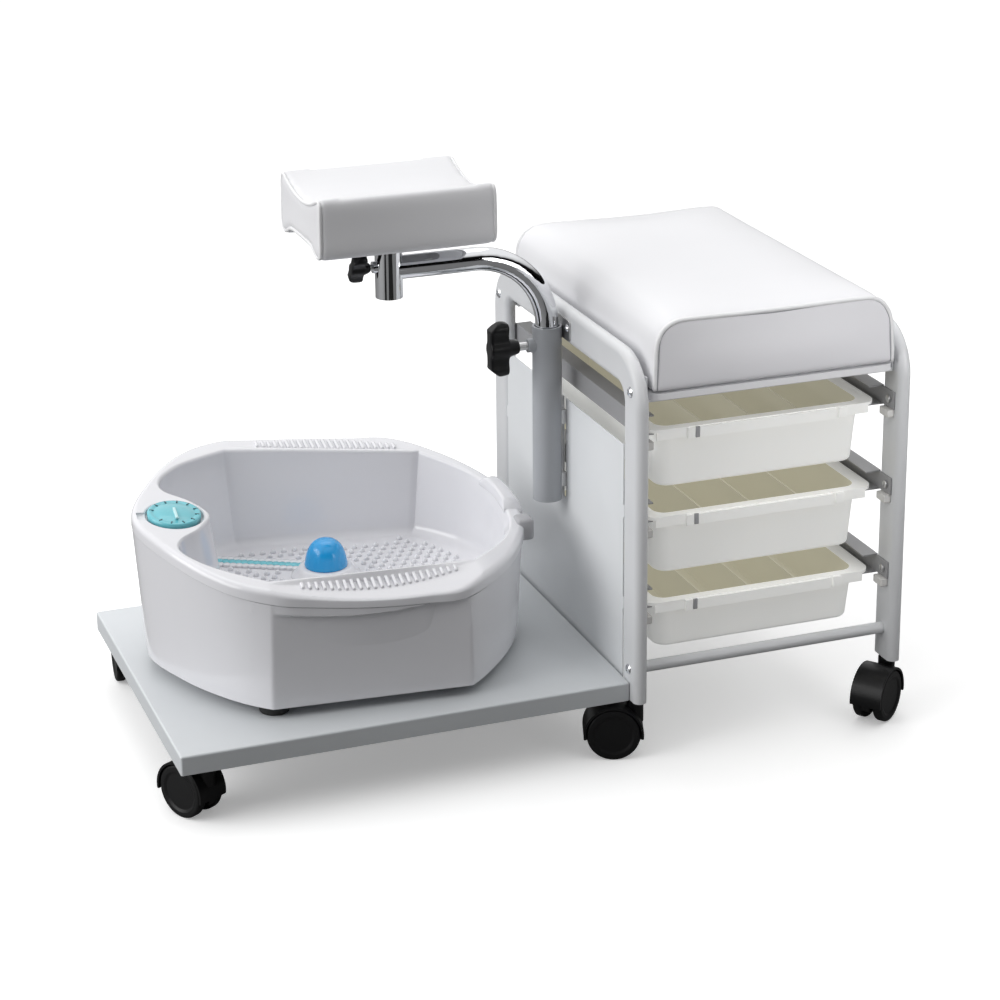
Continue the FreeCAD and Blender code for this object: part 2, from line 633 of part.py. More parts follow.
def caster_hood():
    """Swivelling body: boss round the stem, web between the wheels, and a cover over both wheels."""
    half = WHEEL_WIDE + WHEEL_GAP / 2
    centre = (CASTER_TRAIL, WHEEL_RADIUS)
    web_half = WHEEL_GAP / 2 - 1.0

    def across(radius, wide):
        return rod(radius, (centre[0], -wide, centre[1]), (centre[0], wide, centre[1]))

    cover = across(HOOD_RADIUS, half + 0.6).cut(across(HOOD_RADIUS - HOOD_THICK, half + 2))
    keep = box(-60, 60, -60, 60, WHEEL_RADIUS - 4, 90)
    cover = cover.common(keep)
    web = across(HOOD_RADIUS - 0.5, web_half).common(box(-60, 60, -60, 60, WHEEL_RADIUS - 9, 90))
    hub = across(8.0, web_half)
    boss = rod(8.0, (0, 0, 34), (0, 0, SWIVEL_Z))
    tyre_room = across(WHEEL_RADIUS + 0.8, half + 3).cut(across(WHEEL_RADIUS + 2, web_half))
    hood = cover.fuse([web, hub, boss])
    hood = hood.cut(tyre_room)
    hood = hood.cut(rod(STEM_RADIUS + RUNNING, (0, 0, 38), (0, 0, SWIVEL_Z + 1)))
    hood = hood.cut(across(3.0 + RUNNING, 40))
    return hood.removeSplitter()


def caster_wheels():
    """Two wheels with rounded treads and a shallow dish in each outer face, on one axle."""
    inner = WHEEL_GAP / 2
    outer = inner + WHEEL_WIDE
    pair = rod(3.0, (0, -inner - 1, 0), (0, inner + 1, 0))
    for side in (-1, 1):
        wheel = rod(WHEEL_RADIUS, (0, side * inner, 0), (0, side * outer, 0))
        wheel = fillet(wheel, 2.4, lambda e: e.BoundBox.YLength < 0.1)
        dish = Part.makeCone(17.0, 20.0, 1.5, Vector(0, side * (outer - 1.2), 0), Vector(0, side, 0))
        pair = pair.fuse(wheel.cut(dish))
    pair = pair.removeSplitter()
    pair.translate(Vector(CASTER_TRAIL, 0, WHEEL_RADIUS))
    return pair


def caster_stems():
    """Six stems, each with the collar that shows under the leg or the tray."""
    stems = []
    for name, x, y, _ in CASTERS:
        top = 69.0 if name.startswith("platform") else 82.0
        stem = rod(STEM_RADIUS, (x, y, 39), (x, y, top))
        collar = rod(5.8, (x, y, SWIVEL_Z + 0.3), (x, y, LEG_BOTTOM))
        stems.append(stem.fuse(collar).removeSplitter())
    return stems


def caster_sockets():
    """Blocks that hold the stems: round under the tray, oval inside the legs."""
    sockets = []
    for name, x, y, _ in CASTERS:
        bore = rod(STEM_RADIUS + 0.03, (x, y, LEG_BOTTOM - 1), (x, y, 100))
        if name.startswith("platform"):
            block = rod(9.0, (x, y, LEG_BOTTOM), (x, y, PLATFORM_TOP - SHEET - 1.6))
        else:
            section = oval_wire(x, y, TUBE_DEEP - 2 * TUBE_WALL - 0.1, TUBE_WIDE - 2 * TUBE_WALL - 0.1,
                                LEG_BOTTOM)
            block = Part.Face(section).extrude(Vector(0, 0, 27))
        sockets.append(block.cut(bore))
    return sockets


# ---- foot bath, in its own axes: the dial end at -x, the rim's low side at -y ----
def bath_place(shape):
    turn = FreeCAD.Rotation(Vector(0, 0, 1), BATH_TURN)
    shape.Placement = FreeCAD.Placement(Vector(BATH_X, BATH_Y, 0), turn).multiply(shape.Placement)
    return shape


def rim_z(x, y):
    return RIM_HEIGHT + RIM_RISE_Y * y - RIM_FALL_X * x


def curve(points, z):
    spline = Part.BSplineCurve()
    spline.interpolate([Vector(x, y, z) for x, y in points])
    return spline.toShape()


def straight(a, b, z):
    return Part.LineSegment(Vector(a[0], a[1], z), Vector(b[0], b[1], z)).toShape()


def outer_outline(inset, z):
    """Oval outline of the body; its ends draw in with the draft, its front and back do not."""
    ends = 1 - inset / 183.0
    brow = 1 + inset * 0.006
    quarter = [(184, 0), (178, 45), (148, 102), (98, 152)]
    front = [(55, 159), (7, 161.5), (-40, 159), (-83, 152.5)]
    dial_end = [(-124, 124), (-160, 68)]
    half = [(x * ends, y) for x, y in quarter] + [(x, y * brow) for x, y in front]
    half += [(x * ends, y * ends) for x, y in dial_end]
    points = half + [(-183 * ends, 0)] + [(x, -y) for x, y in reversed(half[1:])]
    spline = Part.BSplineCurve()
    spline.interpolate([Vector(x, y, z) for x, y in points], PeriodicFlag=True)
    return Part.Wire(spline.toShape())


def opening_outline(grow, z):
    """Outline of the basin's mouth, with the round island of the dial cut into its -x end."""
    def p(x, y, gx, gy):
        return (x + gx * grow, y + gy * grow)
    left = [p(-74, 127, 0, 1), p(-121, 102, -0.6, 0.8), p(-141, 84, -0.9, 0.4), p(-148, 66, -1, -0.1),
            p(-143, 47, -0.7, -0.7), p(-122, 27, -0.8, -0.8), p(-109, 0, -1, 0),
            p(-122, -27, -0.8, 0.8), p(-143, -47, -0.7, 0.7), p(-148, -66, -1, 0.1),
            p(-141, -84, -0.9, -0.4), p(-121, -102, -0.6, -0.8), p(-74, -127, 0, -1)]
    right = [p(118, -116, 0.1, -1), p(152, -74, 0.9, -0.4), p(167, -36, 1, -0.1), p(169, 0, 1, 0),
             p(167, 36, 1, 0.1), p(152, 74, 0.9, 0.4), p(118, 116, 0.1, 1)]
    return Part.Wire([curve(left, z), straight(left[-1], right[0], z), curve(right, z),
                      straight(right[-1], left[0], z)])


def below_rim(drop):
    """Large block whose top is the sloping rim plane lowered by drop."""
    reach = 260.0
    corners = [(-reach, -reach), (reach, -reach), (reach, reach), (-reach, reach)]
    top = Part.Face(wire([(x, y, rim_z(x, y) - drop) for x, y in corners]))
    return top.extrude(Vector(0, 0, -400))


def bath_body(inset, low):
    """Drafted block of the outside, from low up to well above the rim, cut flat at the front and back."""
    high = 270.0

    def at(z):
        return inset + BATH_DRAFT * (RIM_HEIGHT - z) / (RIM_HEIGHT - BATH_BOTTOM)

    block = Part.makeLoft([outer_outline(at(low), low), outer_outline(at(high), high)], True, True)
    for side in (-1, 1):
        near = side * (FACET_Y - inset)
        block = block.cut(box(-130, 150, min(near, side * 220), max(near, side * 220), low - 5,
                              FACET_TOP + inset))
    return block


def bath_hollow(grow, low):
    high = 270.0
    def at(z):
        return grow - 12.0 * (RIM_HEIGHT - z) / (RIM_HEIGHT - BATH_FLOOR)
    return Part.makeLoft([opening_outline(at(low), low), opening_outline(at(high), high)], True, True)


def bath_basin():
    """Rim and tub in one moulding, with the recess of the dial and the pedestal of the knob."""
    cap = bath_body(0, BATH_BOTTOM).common(below_rim(0)).cut(below_rim(RIM_CAP))
    hollow = bath_hollow(0, BATH_FLOOR)
    tub = bath_hollow(BATH_WALL, BATH_FLOOR - BATH_WALL).common(below_rim(1.0))
    spout = box(166, 181, -12, 46, RIM_HEIGHT - 20, RIM_HEIGHT + 4)
    spout = fillet(spout, 4.0, lambda e: e.BoundBox.ZMin > RIM_HEIGHT + 3 and e.BoundBox.YLength > 20)
    spout = spout.cut(below_rim(RIM_CAP))
    basin = cap.fuse([tub, spout]).cut(hollow)
    recess = rod(DIAL_RADIUS + 1.5, (0, 0, -4.0), (0, 0, 12))
    spindle_hole = rod(3.46, (0, 0, -40.0), (0, 0, 12))
    for cutter in (recess, spindle_hole):
        cutter.Placement = dial_placement()
        basin = basin.cut(cutter)
    pedestal = Part.makeCone(32, 26, PEDESTAL_TALL, Vector(KNOB_X, KNOB_Y, BATH_FLOOR))
    pedestal = pedestal.cut(rod(2.55, (KNOB_X, KNOB_Y, BATH_FLOOR + 2), (KNOB_X, KNOB_Y, BATH_FLOOR + 20)))
    return basin.fuse(pedestal)


def dial_placement():
    """Axes of the dial: origin on the rim plane at the island, z along the rim's normal."""
    normal = Vector(RIM_FALL_X, -RIM_RISE_Y, 1)
    return FreeCAD.Placement(Vector(DIAL_X, 0, rim_z(DIAL_X, 0)), FreeCAD.Rotation(Vector(0, 0, 1), normal))


def control_dial():
    """Flat domed disc with a spindle below."""
    disc = rod(DIAL_RADIUS, (0, 0, -3.6), (0, 0, 3.0))
    disc = fillet(disc, 2.0, lambda e: e.BoundBox.ZMin > 2)
    grip = box(-DIAL_RADIUS + 6, DIAL_RADIUS - 6, -3, 3, 2.0, 5.0)
    grip = fillet(grip, 1.2, lambda e: e.BoundBox.ZMin > 4)
    spindle = rod(3.4, (0, 0, -22), (0, 0, -3))
    dial = disc.fuse([grip, spindle]).removeSplitter()
    dial.Placement = dial_placement()
    return dial


def rotary_switch():
    body = rod(13.0, (0, 0, -46), (0, 0, -24))
    tabs = [box(-6, -4, -2, 2, -52, -45), box(4, 6, -2, 2, -52, -45)]
    switch = body.fuse(tabs)
    switch = switch.cut(rod(3.48, (0, 0, -30), (0, 0, -20)))
    switch.Placement = dial_placement()
    return switch


BOSSES = ((-115, -112), (-115, 112), (120, -112), (120, 112))


def bath_shell():
    """Outer wall of the bath, with screw bosses inside, a cord inlet hole and a lug on the blunt end."""
    wall = bath_body(0, BATH_BOTTOM).cut(bath_body(BATH_WALL, BATH_BOTTOM - 1))
    under_cap = below_rim(RIM_CAP + 0.2)
    wall = wall.common(under_cap)
    room = bath_body(1.5, BATH_BOTTOM)
    for x, y in BOSSES:
        boss = rod(7.0, (x, y, BATH_BOTTOM + 3.0), (x, y, BATH_BOTTOM + 36)).common(room)
        wall = wall.fuse(boss)
        wall = wall.cut(rod(1.8, (x, y, BATH_BOTTOM - 1), (x, y, BATH_BOTTOM + 20)))
    lug = box(174, 187, -44, -28, 176, 194)
    lug = fillet(lug, 2.5, lambda e: e.BoundBox.XMin > 180)
    lug = lug.cut(bath_body(1.5, BATH_BOTTOM))
    lug = lug.cut(bath_body(-0.3, BATH_BOTTOM).cut(under_cap))
    wall = wall.fuse(lug)
    return wall.cut(rod(7.0, (60, 130, 112), (60, 180, 112))).removeSplitter()


def bath_bottom_cover():
    plate = bath_body(BATH_WALL + 0.3, BATH_BOTTOM).common(box(-300, 300, -300, 300, BATH_BOTTOM,
                                                               BATH_BOTTOM + 2.8))
    for x, y in BOSSES:
        plate = plate.cut(rod(1.9, (x, y, BATH_BOTTOM - 1), (x, y, BATH_BOTTOM + 4)))
    return plate


FEET = ((-80, -130), (-80, 130), (86, -118), (86, 118))


def bath_feet():
    feet = []
    for x, y in FEET:
        foot = Part.makeCone(13.5, 15.5, BATH_BOTTOM - PLATFORM_TOP, Vector(x, y, PLATFORM_TOP))
        feet.append(fillet(foot, 1.5, lambda e: e.BoundBox.ZMax < PLATFORM_TOP + 0.1))
    return feet


def bath_screws():
    screws = []
    for x, y in BOSSES:
        head = rod(3.6, (x, y, BATH_BOTTOM), (x, y, BATH_BOTTOM - 2))
        screws.append(head.fuse(rod(1.7, (x, y, BATH_BOTTOM), (x, y, BATH_BOTTOM + 16))).removeSplitter())
    return screws


def bubble_strips():
    """Two perforated strips on the floor, one for each foot."""
    strips = []
    for y in (-78.0, 78.0):
        strip = box(-92, -12, y - 5, y + 5, BATH_FLOOR, BATH_FLOOR + 2.2)
        strip = fillet(strip, 1.0, lambda e: e.BoundBox.ZMin > BATH_FLOOR + 2)
        holes = [rod(0.8, (-86 + 8 * i, y, BATH_FLOOR - 1), (-86 + 8 * i, y, BATH_FLOOR + 4))
                 for i in range(10)]
        strips.append(strip.cut(holes))
    return strips


def massage_knob():
    """Rounded cone with a peg below."""
    base = BATH_FLOOR + PEDESTAL_TALL
    cone = Part.makeCone(20.0, 14.5, KNOB_TALL, Vector(KNOB_X, KNOB_Y, base + 0.1))
    cone = fillet(cone, 10.5, lambda e: e.BoundBox.ZMin > base + KNOB_TALL - 1)
    cone = fillet(cone, 2.0, lambda e: e.BoundBox.ZMax < base + 1)
    peg = rod(2.5, (KNOB_X, KNOB_Y, base - 7), (KNOB_X, KNOB_Y, base + 1))
    return cone.fuse(peg).removeSplitter()


def air_pump():
    body = box(35, 95, -70, -20, BATH_BOTTOM + 3, BATH_FLOOR - 8)
    body = fillet(body, 4.0, lambda e: e.BoundBox.ZLength > 20)
    nozzle = rod(3.0, (35, -45, 112), (25, -45, 112))
    return body.fuse(nozzle).removeSplitter()


def heating_element():
    """Flat heater plate held under the floor of the basin."""
    return box(-60, 20, -30, 30, BATH_FLOOR - BATH_WALL - 4.1, BATH_FLOOR - BATH_WALL - 0.1)


def cord_inlet():
    """Moulded gland through the back wall of the shell."""
    face = FACET_Y
    gland = rod(6.9, (60, face - 14, 112), (60, face + 1, 112))
    flange = rod(9.0, (60, face + 0.3, 112), (60, face + 3.6, 112))
    gland = gland.fuse(flange)
    return gland.cut(rod(3.4, (60, face - 16, 112), (60, face + 6, 112))).removeSplitter()


def build():
    os.makedirs("parts", exist_ok=True)
    save("base_tray", platform_tray())
    save("base_stiffeners", platform_stiffeners())
    save("left_side_frame", side_frame(LEFT_FRAME_X, -1))
    save("right_side_frame", side_frame(RIGHT_FRAME_X, 1))
    save("lower_cross_bars", lower_cross_bars())
    save("seat_cross_bars", seat_cross_bars())
    save("side_panel", side_panel())
    save("frame_bolts", frame_bolts())
    save("rail_screws", rail_screws())
    save("drawer_rails", drawer_rails())
    save("rail_end_stops", rail_end_stops())
    save("caster_stems", caster_stems())
    save("caster_sockets", caster_sockets())
    save("seat_board", seat_board())
    save("seat_cushion", seat_cushion())

    for i, (name, tall) in enumerate(zip(DRAWERS, DRAWER_TALLS)):
        rim_top = TOP_RAIL_BOTTOM - DRAWER_PITCH * i + RAIL_SHEET + 0.2 + RIM_THICK
        save("drawer_" + name, drawer(rim_top, tall))
        save("drawer_" + name + "_dividers", drawer_dividers(rim_top, tall))

    for name, maker in (("arm_post", arm_post), ("post_bush", post_bush),
                        ("arm_guide_sleeve", arm_guide_sleeve), ("footrest_arm", footrest_arm),
                        ("post_knob", post_knob), ("post_knob_stud", post_knob_stud),
                        ("pad_knob", pad_knob), ("pad_knob_stud", pad_knob_stud),
                        ("pad_stem", pad_stem), ("pad_bracket", pad_bracket),
                        ("footrest_pad", footrest_pad)):
        save(name, at_post(maker()))
    for name, maker in (("post_brackets", post_brackets), ("pad_screws", pad_screws)):
        save(name, [at_post(piece) for piece in maker()])

    for name, x, y, trail in CASTERS:
        for suffix, maker in (("hood", caster_hood), ("wheels", caster_wheels)):
            shape = maker()
            shape.Placement = caster_frame(x, y, trail).multiply(shape.Placement)
            save("caster_" + name + "_" + suffix, shape)

    for name, maker in (("bath_basin", bath_basin), ("bath_shell", bath_shell),
                        ("bath_bottom_cover", bath_bottom_cover), ("control_dial", control_dial),
                        ("rotary_switch", rotary_switch), ("massage_knob", massage_knob),
                        ("air_pump", air_pump), ("heating_element", heating_element),
                        ("cord_inlet", cord_inlet)):
        save(name, bath_place(maker()))
    for name, maker in (("bath_feet", bath_feet), ("bath_screws", bath_screws),
                        ("bubble_strips", bubble_strips)):
        save(name, [bath_place(piece) for piece in maker()])


build()
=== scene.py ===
import json
import math

import bmesh
import bpy
import numpy
from mathutils import Matrix, Vector
from mathutils.bvhtree import BVHTree


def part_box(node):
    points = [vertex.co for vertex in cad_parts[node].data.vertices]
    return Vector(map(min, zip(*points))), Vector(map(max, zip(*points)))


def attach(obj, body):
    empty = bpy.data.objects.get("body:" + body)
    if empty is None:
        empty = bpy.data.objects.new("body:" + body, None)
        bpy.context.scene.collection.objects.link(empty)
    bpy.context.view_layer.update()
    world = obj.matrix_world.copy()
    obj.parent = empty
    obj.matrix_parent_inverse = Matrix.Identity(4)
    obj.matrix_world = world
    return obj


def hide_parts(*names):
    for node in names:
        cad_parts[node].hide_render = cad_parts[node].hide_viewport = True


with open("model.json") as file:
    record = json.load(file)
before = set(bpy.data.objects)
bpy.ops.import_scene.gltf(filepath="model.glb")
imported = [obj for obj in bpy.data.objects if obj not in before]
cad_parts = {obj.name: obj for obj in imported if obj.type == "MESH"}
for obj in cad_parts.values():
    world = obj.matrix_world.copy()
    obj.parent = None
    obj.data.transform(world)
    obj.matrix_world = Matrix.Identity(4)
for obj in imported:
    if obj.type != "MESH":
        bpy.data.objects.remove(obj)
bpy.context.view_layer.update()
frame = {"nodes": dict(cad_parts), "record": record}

MM = 0.001
TAU = 2 * math.pi


# ---- materials: colours are linear ----
MILKY_WHITE = (0.87, 0.87, 0.85)
# Cream for the faces inside the drawers and for the dividers: painted shade, darker and warmer than the
# milky white.
CREAM_PAINTED_SHADE = (0.57, 0.55, 0.455)
# Strength of the painted glow on the milky plastic: emission standing in for light through its walls.
MILKY_PAINTED_GLOW = 0.24
BROAD_SCALE = 9.0
RELIEF_DEPTH = 0.0005


def noise_material(name, color, rough, metallic=0.0, mottle=0.02, grain=900.0, bump=0.02,
                   rough_spread=0.05, coat=0.0, coat_rough=0.1):
    """Principled material whose colour, roughness and surface vary a little with noise."""
    mat = bpy.data.materials.new(name)
    mat.use_nodes = True
    nodes, links = mat.node_tree.nodes, mat.node_tree.links
    shader = nodes["Principled BSDF"]
    shader.inputs["Metallic"].default_value = metallic
    shader.inputs["Coat Weight"].default_value = coat
    shader.inputs["Coat Roughness"].default_value = coat_rough
    where = nodes.new("ShaderNodeTexCoord")
    broad = nodes.new("ShaderNodeTexNoise")
    broad.inputs["Scale"].default_value = BROAD_SCALE
    broad.inputs["Detail"].default_value = 3.0
    fine = nodes.new("ShaderNodeTexNoise")
    fine.inputs["Scale"].default_value = grain
    fine.inputs["Detail"].default_value = 2.0
    links.new(where.outputs["Object"], broad.inputs["Vector"])
    links.new(where.outputs["Object"], fine.inputs["Vector"])
    tint = nodes.new("ShaderNodeValToRGB")
    darker = [max(c * (1 - mottle * 3), 0.0) for c in color]
    tint.color_ramp.elements[0].position = 0.3
    tint.color_ramp.elements[0].color = (*darker, 1)
    tint.color_ramp.elements[1].position = 0.7
    tint.color_ramp.elements[1].color = (*color, 1)
    links.new(broad.outputs["Fac"], tint.inputs["Fac"])
    links.new(tint.outputs["Color"], shader.inputs["Base Color"])
    spread = nodes.new("ShaderNodeMapRange")
    spread.inputs["To Min"].default_value = max(rough - rough_spread, 0.02)
    spread.inputs["To Max"].default_value = rough + rough_spread
    links.new(fine.outputs["Fac"], spread.inputs["Value"])
    links.new(spread.outputs["Result"], shader.inputs["Roughness"])
    relief = nodes.new("ShaderNodeBump")
    relief.inputs["Strength"].default_value = bump
    relief.inputs["Distance"].default_value = RELIEF_DEPTH
    links.new(fine.outputs["Fac"], relief.inputs["Height"])
    links.new(relief.outputs["Normal"], shader.inputs["Normal"])
    return mat


def vector_math(mat, operation, first, second):
    node = mat.node_tree.nodes.new("ShaderNodeVectorMath")
    node.operation = operation
    for slot, value in enumerate((first, second)):
        if isinstance(value, tuple):
            node.inputs[slot].default_value = value
        else:
            mat.node_tree.links.new(value, node.inputs[slot])
    return node.outputs["Value" if operation == "DOT_PRODUCT" else "Vector"]


def ramp_between(mat, value, low, high):
    node = mat.node_tree.nodes.new("ShaderNodeMapRange")
    node.inputs["From Min"].default_value = low
    node.inputs["From Max"].default_value = high
    mat.node_tree.links.new(value, node.inputs["Value"])
    return node.outputs["Result"]


def combine(mat, operation, first, second):
    node = mat.node_tree.nodes.new("ShaderNodeMath")
    node.operation = operation
    mat.node_tree.links.new(first, node.inputs[0])
    mat.node_tree.links.new(second, node.inputs[1])
    return node.outputs["Value"]


def milky_material(name, color, rough):
    return noise_material(name, color, rough, mottle=0.01, bump=0.03, grain=500.0)


def paint_glow(mat):
    """Painted glow: emission in the surface's own colour, standing in for light that leaks through the
    thin milky walls.
    """
    shader = mat.node_tree.nodes["Principled BSDF"]
    color = shader.inputs["Base Color"].links[0].from_socket
    mat.node_tree.links.new(color, shader.inputs["Emission Color"])
    shader.inputs["Emission Strength"].default_value = MILKY_PAINTED_GLOW


def drawer_material(name, obj):
    """Milky plastic: near white outside and on the rim, cream on the faces that look inwards and on the
    floor, which is painted shade, and a painted glow all over.
    """
    mat = milky_material(name, MILKY_WHITE, 0.36)
    shader = mat.node_tree.nodes["Principled BSDF"]
    shader.inputs["Subsurface Weight"].default_value = 0.15
    shader.inputs["Subsurface Radius"].default_value = (0.01, 0.009, 0.008)
    corners = [Vector(c) for c in obj.bound_box]
    middle = sum(corners, Vector()) / 8
    top = max(c.z for c in corners)
    place = mat.node_tree.nodes.new("ShaderNodeTexCoord").outputs["Object"]
    normal = mat.node_tree.nodes.new("ShaderNodeNewGeometry").outputs["Normal"]
    out = vector_math(mat, "SUBTRACT", place, (middle.x, middle.y, 0.0))
    to_middle = vector_math(mat, "MULTIPLY", out, (-1.0, -1.0, 0.0))
    inward = vector_math(mat, "DOT_PRODUCT", to_middle, normal)
    upward = vector_math(mat, "DOT_PRODUCT", normal, (0.0, 0.0, 1.0))
    height = vector_math(mat, "DOT_PRODUCT", place, (0.0, 0.0, 1.0))
    # Mask of the inward faces and the floor, which take the cream painted shade.
    low_down = ramp_between(mat, height, top - 0.004, top - 0.006)
    floor = combine(mat, "MULTIPLY", ramp_between(mat, upward, 0.5, 0.8), low_down)
    painted_shade_mask = combine(mat, "MAXIMUM", ramp_between(mat, inward, 0.02, 0.04), floor)
    mix = mat.node_tree.nodes.new("ShaderNodeMix")
    mix.data_type = "RGBA"
    tint = shader.inputs["Base Color"].links[0].from_node
    mat.node_tree.links.new(painted_shade_mask, mix.inputs["Factor"])
    mat.node_tree.links.new(tint.outputs["Color"], mix.inputs["A"])
    mix.inputs["B"].default_value = (*CREAM_PAINTED_SHADE, 1)
    mat.node_tree.links.new(mix.outputs["Result"], shader.inputs["Base Color"])
    paint_glow(mat)
    return mat


PAINT = noise_material("frame_powder_coat", (0.76, 0.77, 0.785), 0.36, bump=0.06, grain=1400.0,
                       coat=0.1)
TRAY_PAINT = noise_material("tray_powder_coat", (0.66, 0.685, 0.705), 0.4, bump=0.08,
                            grain=1400.0)
# Lighter copy of the frame's powder coat for the side panel: painted sheen, standing in for a reflection
# of the bright left side.
PANEL_PAINTED_SHEEN = noise_material("panel_powder_coat_painted_sheen", (0.84, 0.86, 0.875), 0.32, bump=0.06,
                             grain=1400.0)
POST_PAINT = noise_material("post_powder_coat", (0.42, 0.435, 0.46), 0.34, bump=0.06,
                            grain=1400.0)
# Dark grey for the drawer rails: painted shade, for rails that sit in shadow inside the frame.
RAIL_PAINTED_SHADE = noise_material("rail_grey_painted_shade", (0.34, 0.34, 0.35), 0.4, bump=0.05)
STEEL = noise_material("zinc_steel", (0.62, 0.62, 0.62), 0.3, metallic=1.0, bump=0.05)
CHROME = noise_material("chrome_plate", (0.8, 0.81, 0.83), 0.05, metallic=1.0, mottle=0.01,
                        bump=0.0, rough_spread=0.02)
VINYL = noise_material("white_vinyl", (0.84, 0.84, 0.86), 0.42, mottle=0.006, bump=0.12,
                       grain=1100.0, coat=0.08, coat_rough=0.35)
# Greyer copy of the white vinyl for the seat's end panels: painted shade.
VINYL_PAINTED_SHADE = noise_material("vinyl_panel_painted_shade", (0.82, 0.815, 0.845), 0.45, mottle=0.008,
                             bump=0.12, grain=1100.0)
PIPING = noise_material("white_piping", (0.88, 0.88, 0.89), 0.4, mottle=0.005, bump=0.08)
SEAM = noise_material("seam_thread", (0.42, 0.42, 0.45), 0.7, bump=0.1)
BOARD = noise_material("pale_board", (0.74, 0.73, 0.71), 0.6, bump=0.1, grain=400.0)
# The dividers are coloured with the cream painted shade.
MILKY_PAINTED_SHADE = milky_material("milky_divider_painted_shade", CREAM_PAINTED_SHADE, 0.38)
# White for the painted highlight marks on the drawer lips.
MILKY_PAINTED_HIGHLIGHT = milky_material("milky_tab", MILKY_WHITE, 0.36)
# The dividers and the white highlight marks get the painted glow too.
for milky in (MILKY_PAINTED_SHADE, MILKY_PAINTED_HIGHLIGHT):
    paint_glow(milky)
BLACK = noise_material("black_plastic", (0.006, 0.006, 0.0065), 0.34, bump=0.1, grain=700.0)
WHEEL = noise_material("wheel_nylon", (0.009, 0.009, 0.0095), 0.4, bump=0.08, grain=700.0)
for dark in (BLACK, WHEEL):
    dark.node_tree.nodes["Principled BSDF"].inputs["Specular IOR Level"].default_value = 0.28
RUBBER = noise_material("black_rubber", (0.02, 0.02, 0.02), 0.7, bump=0.2, grain=800.0)
BATH = noise_material("bath_gloss", (0.78, 0.78, 0.81), 0.16, mottle=0.006, bump=0.01,
                      rough_spread=0.03, coat=0.3, coat_rough=0.05)
GREY = noise_material("grey_moulding", (0.45, 0.45, 0.47), 0.5, bump=0.08)
TURQUOISE = noise_material("turquoise_plastic", (0.16, 0.58, 0.66), 0.2, mottle=0.04, bump=0.01,
                           coat=0.3)
BLUE = noise_material("blue_plastic", (0.015, 0.36, 0.78), 0.22, mottle=0.04, bump=0.01,
                      coat=0.3)
PALE_TURQUOISE = noise_material("pale_turquoise", (0.55, 0.85, 0.88), 0.25, bump=0.01, coat=0.3)
DARK_TEAL = noise_material("dark_teal", (0.02, 0.1, 0.12), 0.4)
ALUMINIUM = noise_material("plain_aluminium", (0.7, 0.7, 0.7), 0.35, metallic=1.0, bump=0.05)


# ---- CAD nodes ----
BY_SLOT = {
    "frame_paint": PAINT, "post_paint": POST_PAINT, "rail_paint": RAIL_PAINTED_SHADE, "bare_steel": STEEL,
    "chrome_plate": CHROME, "white_vinyl": VINYL, "white_board": BOARD, "drawer_plastic": MILKY_PAINTED_SHADE,
    "black_plastic": BLACK, "wheel_plastic": WHEEL, "bath_plastic": BATH, "grey_plastic": GREY,
    "black_rubber": RUBBER, "turquoise_plastic": TURQUOISE, "blue_plastic": BLUE,
    "heater_plate": ALUMINIUM,
}
BY_NODE = {"side_panel": PANEL_PAINTED_SHEEN, "base_tray": TRAY_PAINT, "base_stiffeners": TRAY_PAINT,
           "seat_board": VINYL}
# Bevel widths in mm.
BEVEL = 0.3
BEVELS = {"base_tray": 0.6, "drawer_rails": 0.35, "seat_board": 0.8, "rail_end_stops": 0.6,
          "seat_cross_bars": 0.4, "post_knob": 1.6, "pad_knob": 1.2, "arm_post": 0.35}
SOFTENED = ("post_knob", "pad_knob")
WELD_GAP = 0.00002
SHARP_ANGLE = math.radians(38)


def dress_cad_nodes():
    """Gives every CAD node its material and breaks its sharp edges."""
    for part in frame["record"]["subparts"]:
        name = part["node"]
        obj = frame["nodes"][name]
        obj.data.materials.clear()
        material = BY_NODE.get(name, BY_SLOT[part["material_slot"]])
        if material is MILKY_PAINTED_SHADE and not name.endswith("dividers"):
            material = drawer_material(name + "_plastic", obj)
        obj.data.materials.append(material)
        weld = obj.modifiers.new("weld", "WELD")
        weld.merge_threshold = WELD_GAP
        bevel = obj.modifiers.new("bevel", "BEVEL")
        bevel.width = BEVELS.get(name, BEVEL) * MM
        bevel.segments = 2
        bevel.limit_method = "ANGLE"
        bevel.angle_limit = SHARP_ANGLE
        bevel.harden_normals = False
        if name in SOFTENED:
            remesh = obj.modifiers.new("remesh", "REMESH")
            remesh.mode = "VOXEL"
            remesh.voxel_size = 0.0007
            remesh.use_smooth_shade = True
            smooth = obj.modifiers.new("smooth", "SMOOTH")
            smooth.factor = 0.7
            smooth.iterations = 32
        normals = obj.modifiers.new("normals", "WEIGHTED_NORMAL")
        normals.keep_sharp = True


dress_cad_nodes()


# ---- shape helpers ----
JOIN_GAP = 0.00001


def add_object(name, mesh, material):
    obj = bpy.data.objects.new(name, mesh)
    bpy.context.scene.collection.objects.link(obj)
    obj.data.materials.append(material)
    shade_smooth(obj)
    return obj


def mesh_from(verts, faces, name):
    mesh = bpy.data.meshes.new(name)
    mesh.from_pydata([tuple(v) for v in verts], [], faces)
    mesh.validate()
    work = bmesh.new()
    work.from_mesh(mesh)
    bmesh.ops.recalc_face_normals(work, faces=work.faces)
    work.to_mesh(mesh)
    work.free()
    return mesh


def loft_mesh(rings, name, cap_first=True, cap_last=True):
    """Closed rings with equal counts, joined by quads; the end rings can be closed with one face."""
    count = len(rings[0])
    verts = [p for ring in rings for p in ring]
    faces = []
    for level in range(len(rings) - 1):
        for i in range(count):
            j = (i + 1) % count
            a, b = level * count, (level + 1) * count
            faces.append((a + i, a + j, b + j, b + i))
    if cap_first:
        faces.append(tuple(reversed(range(count))))
    if cap_last:
        last = (len(rings) - 1) * count
        faces.append(tuple(last + i for i in range(count)))
    return mesh_from(verts, faces, name)


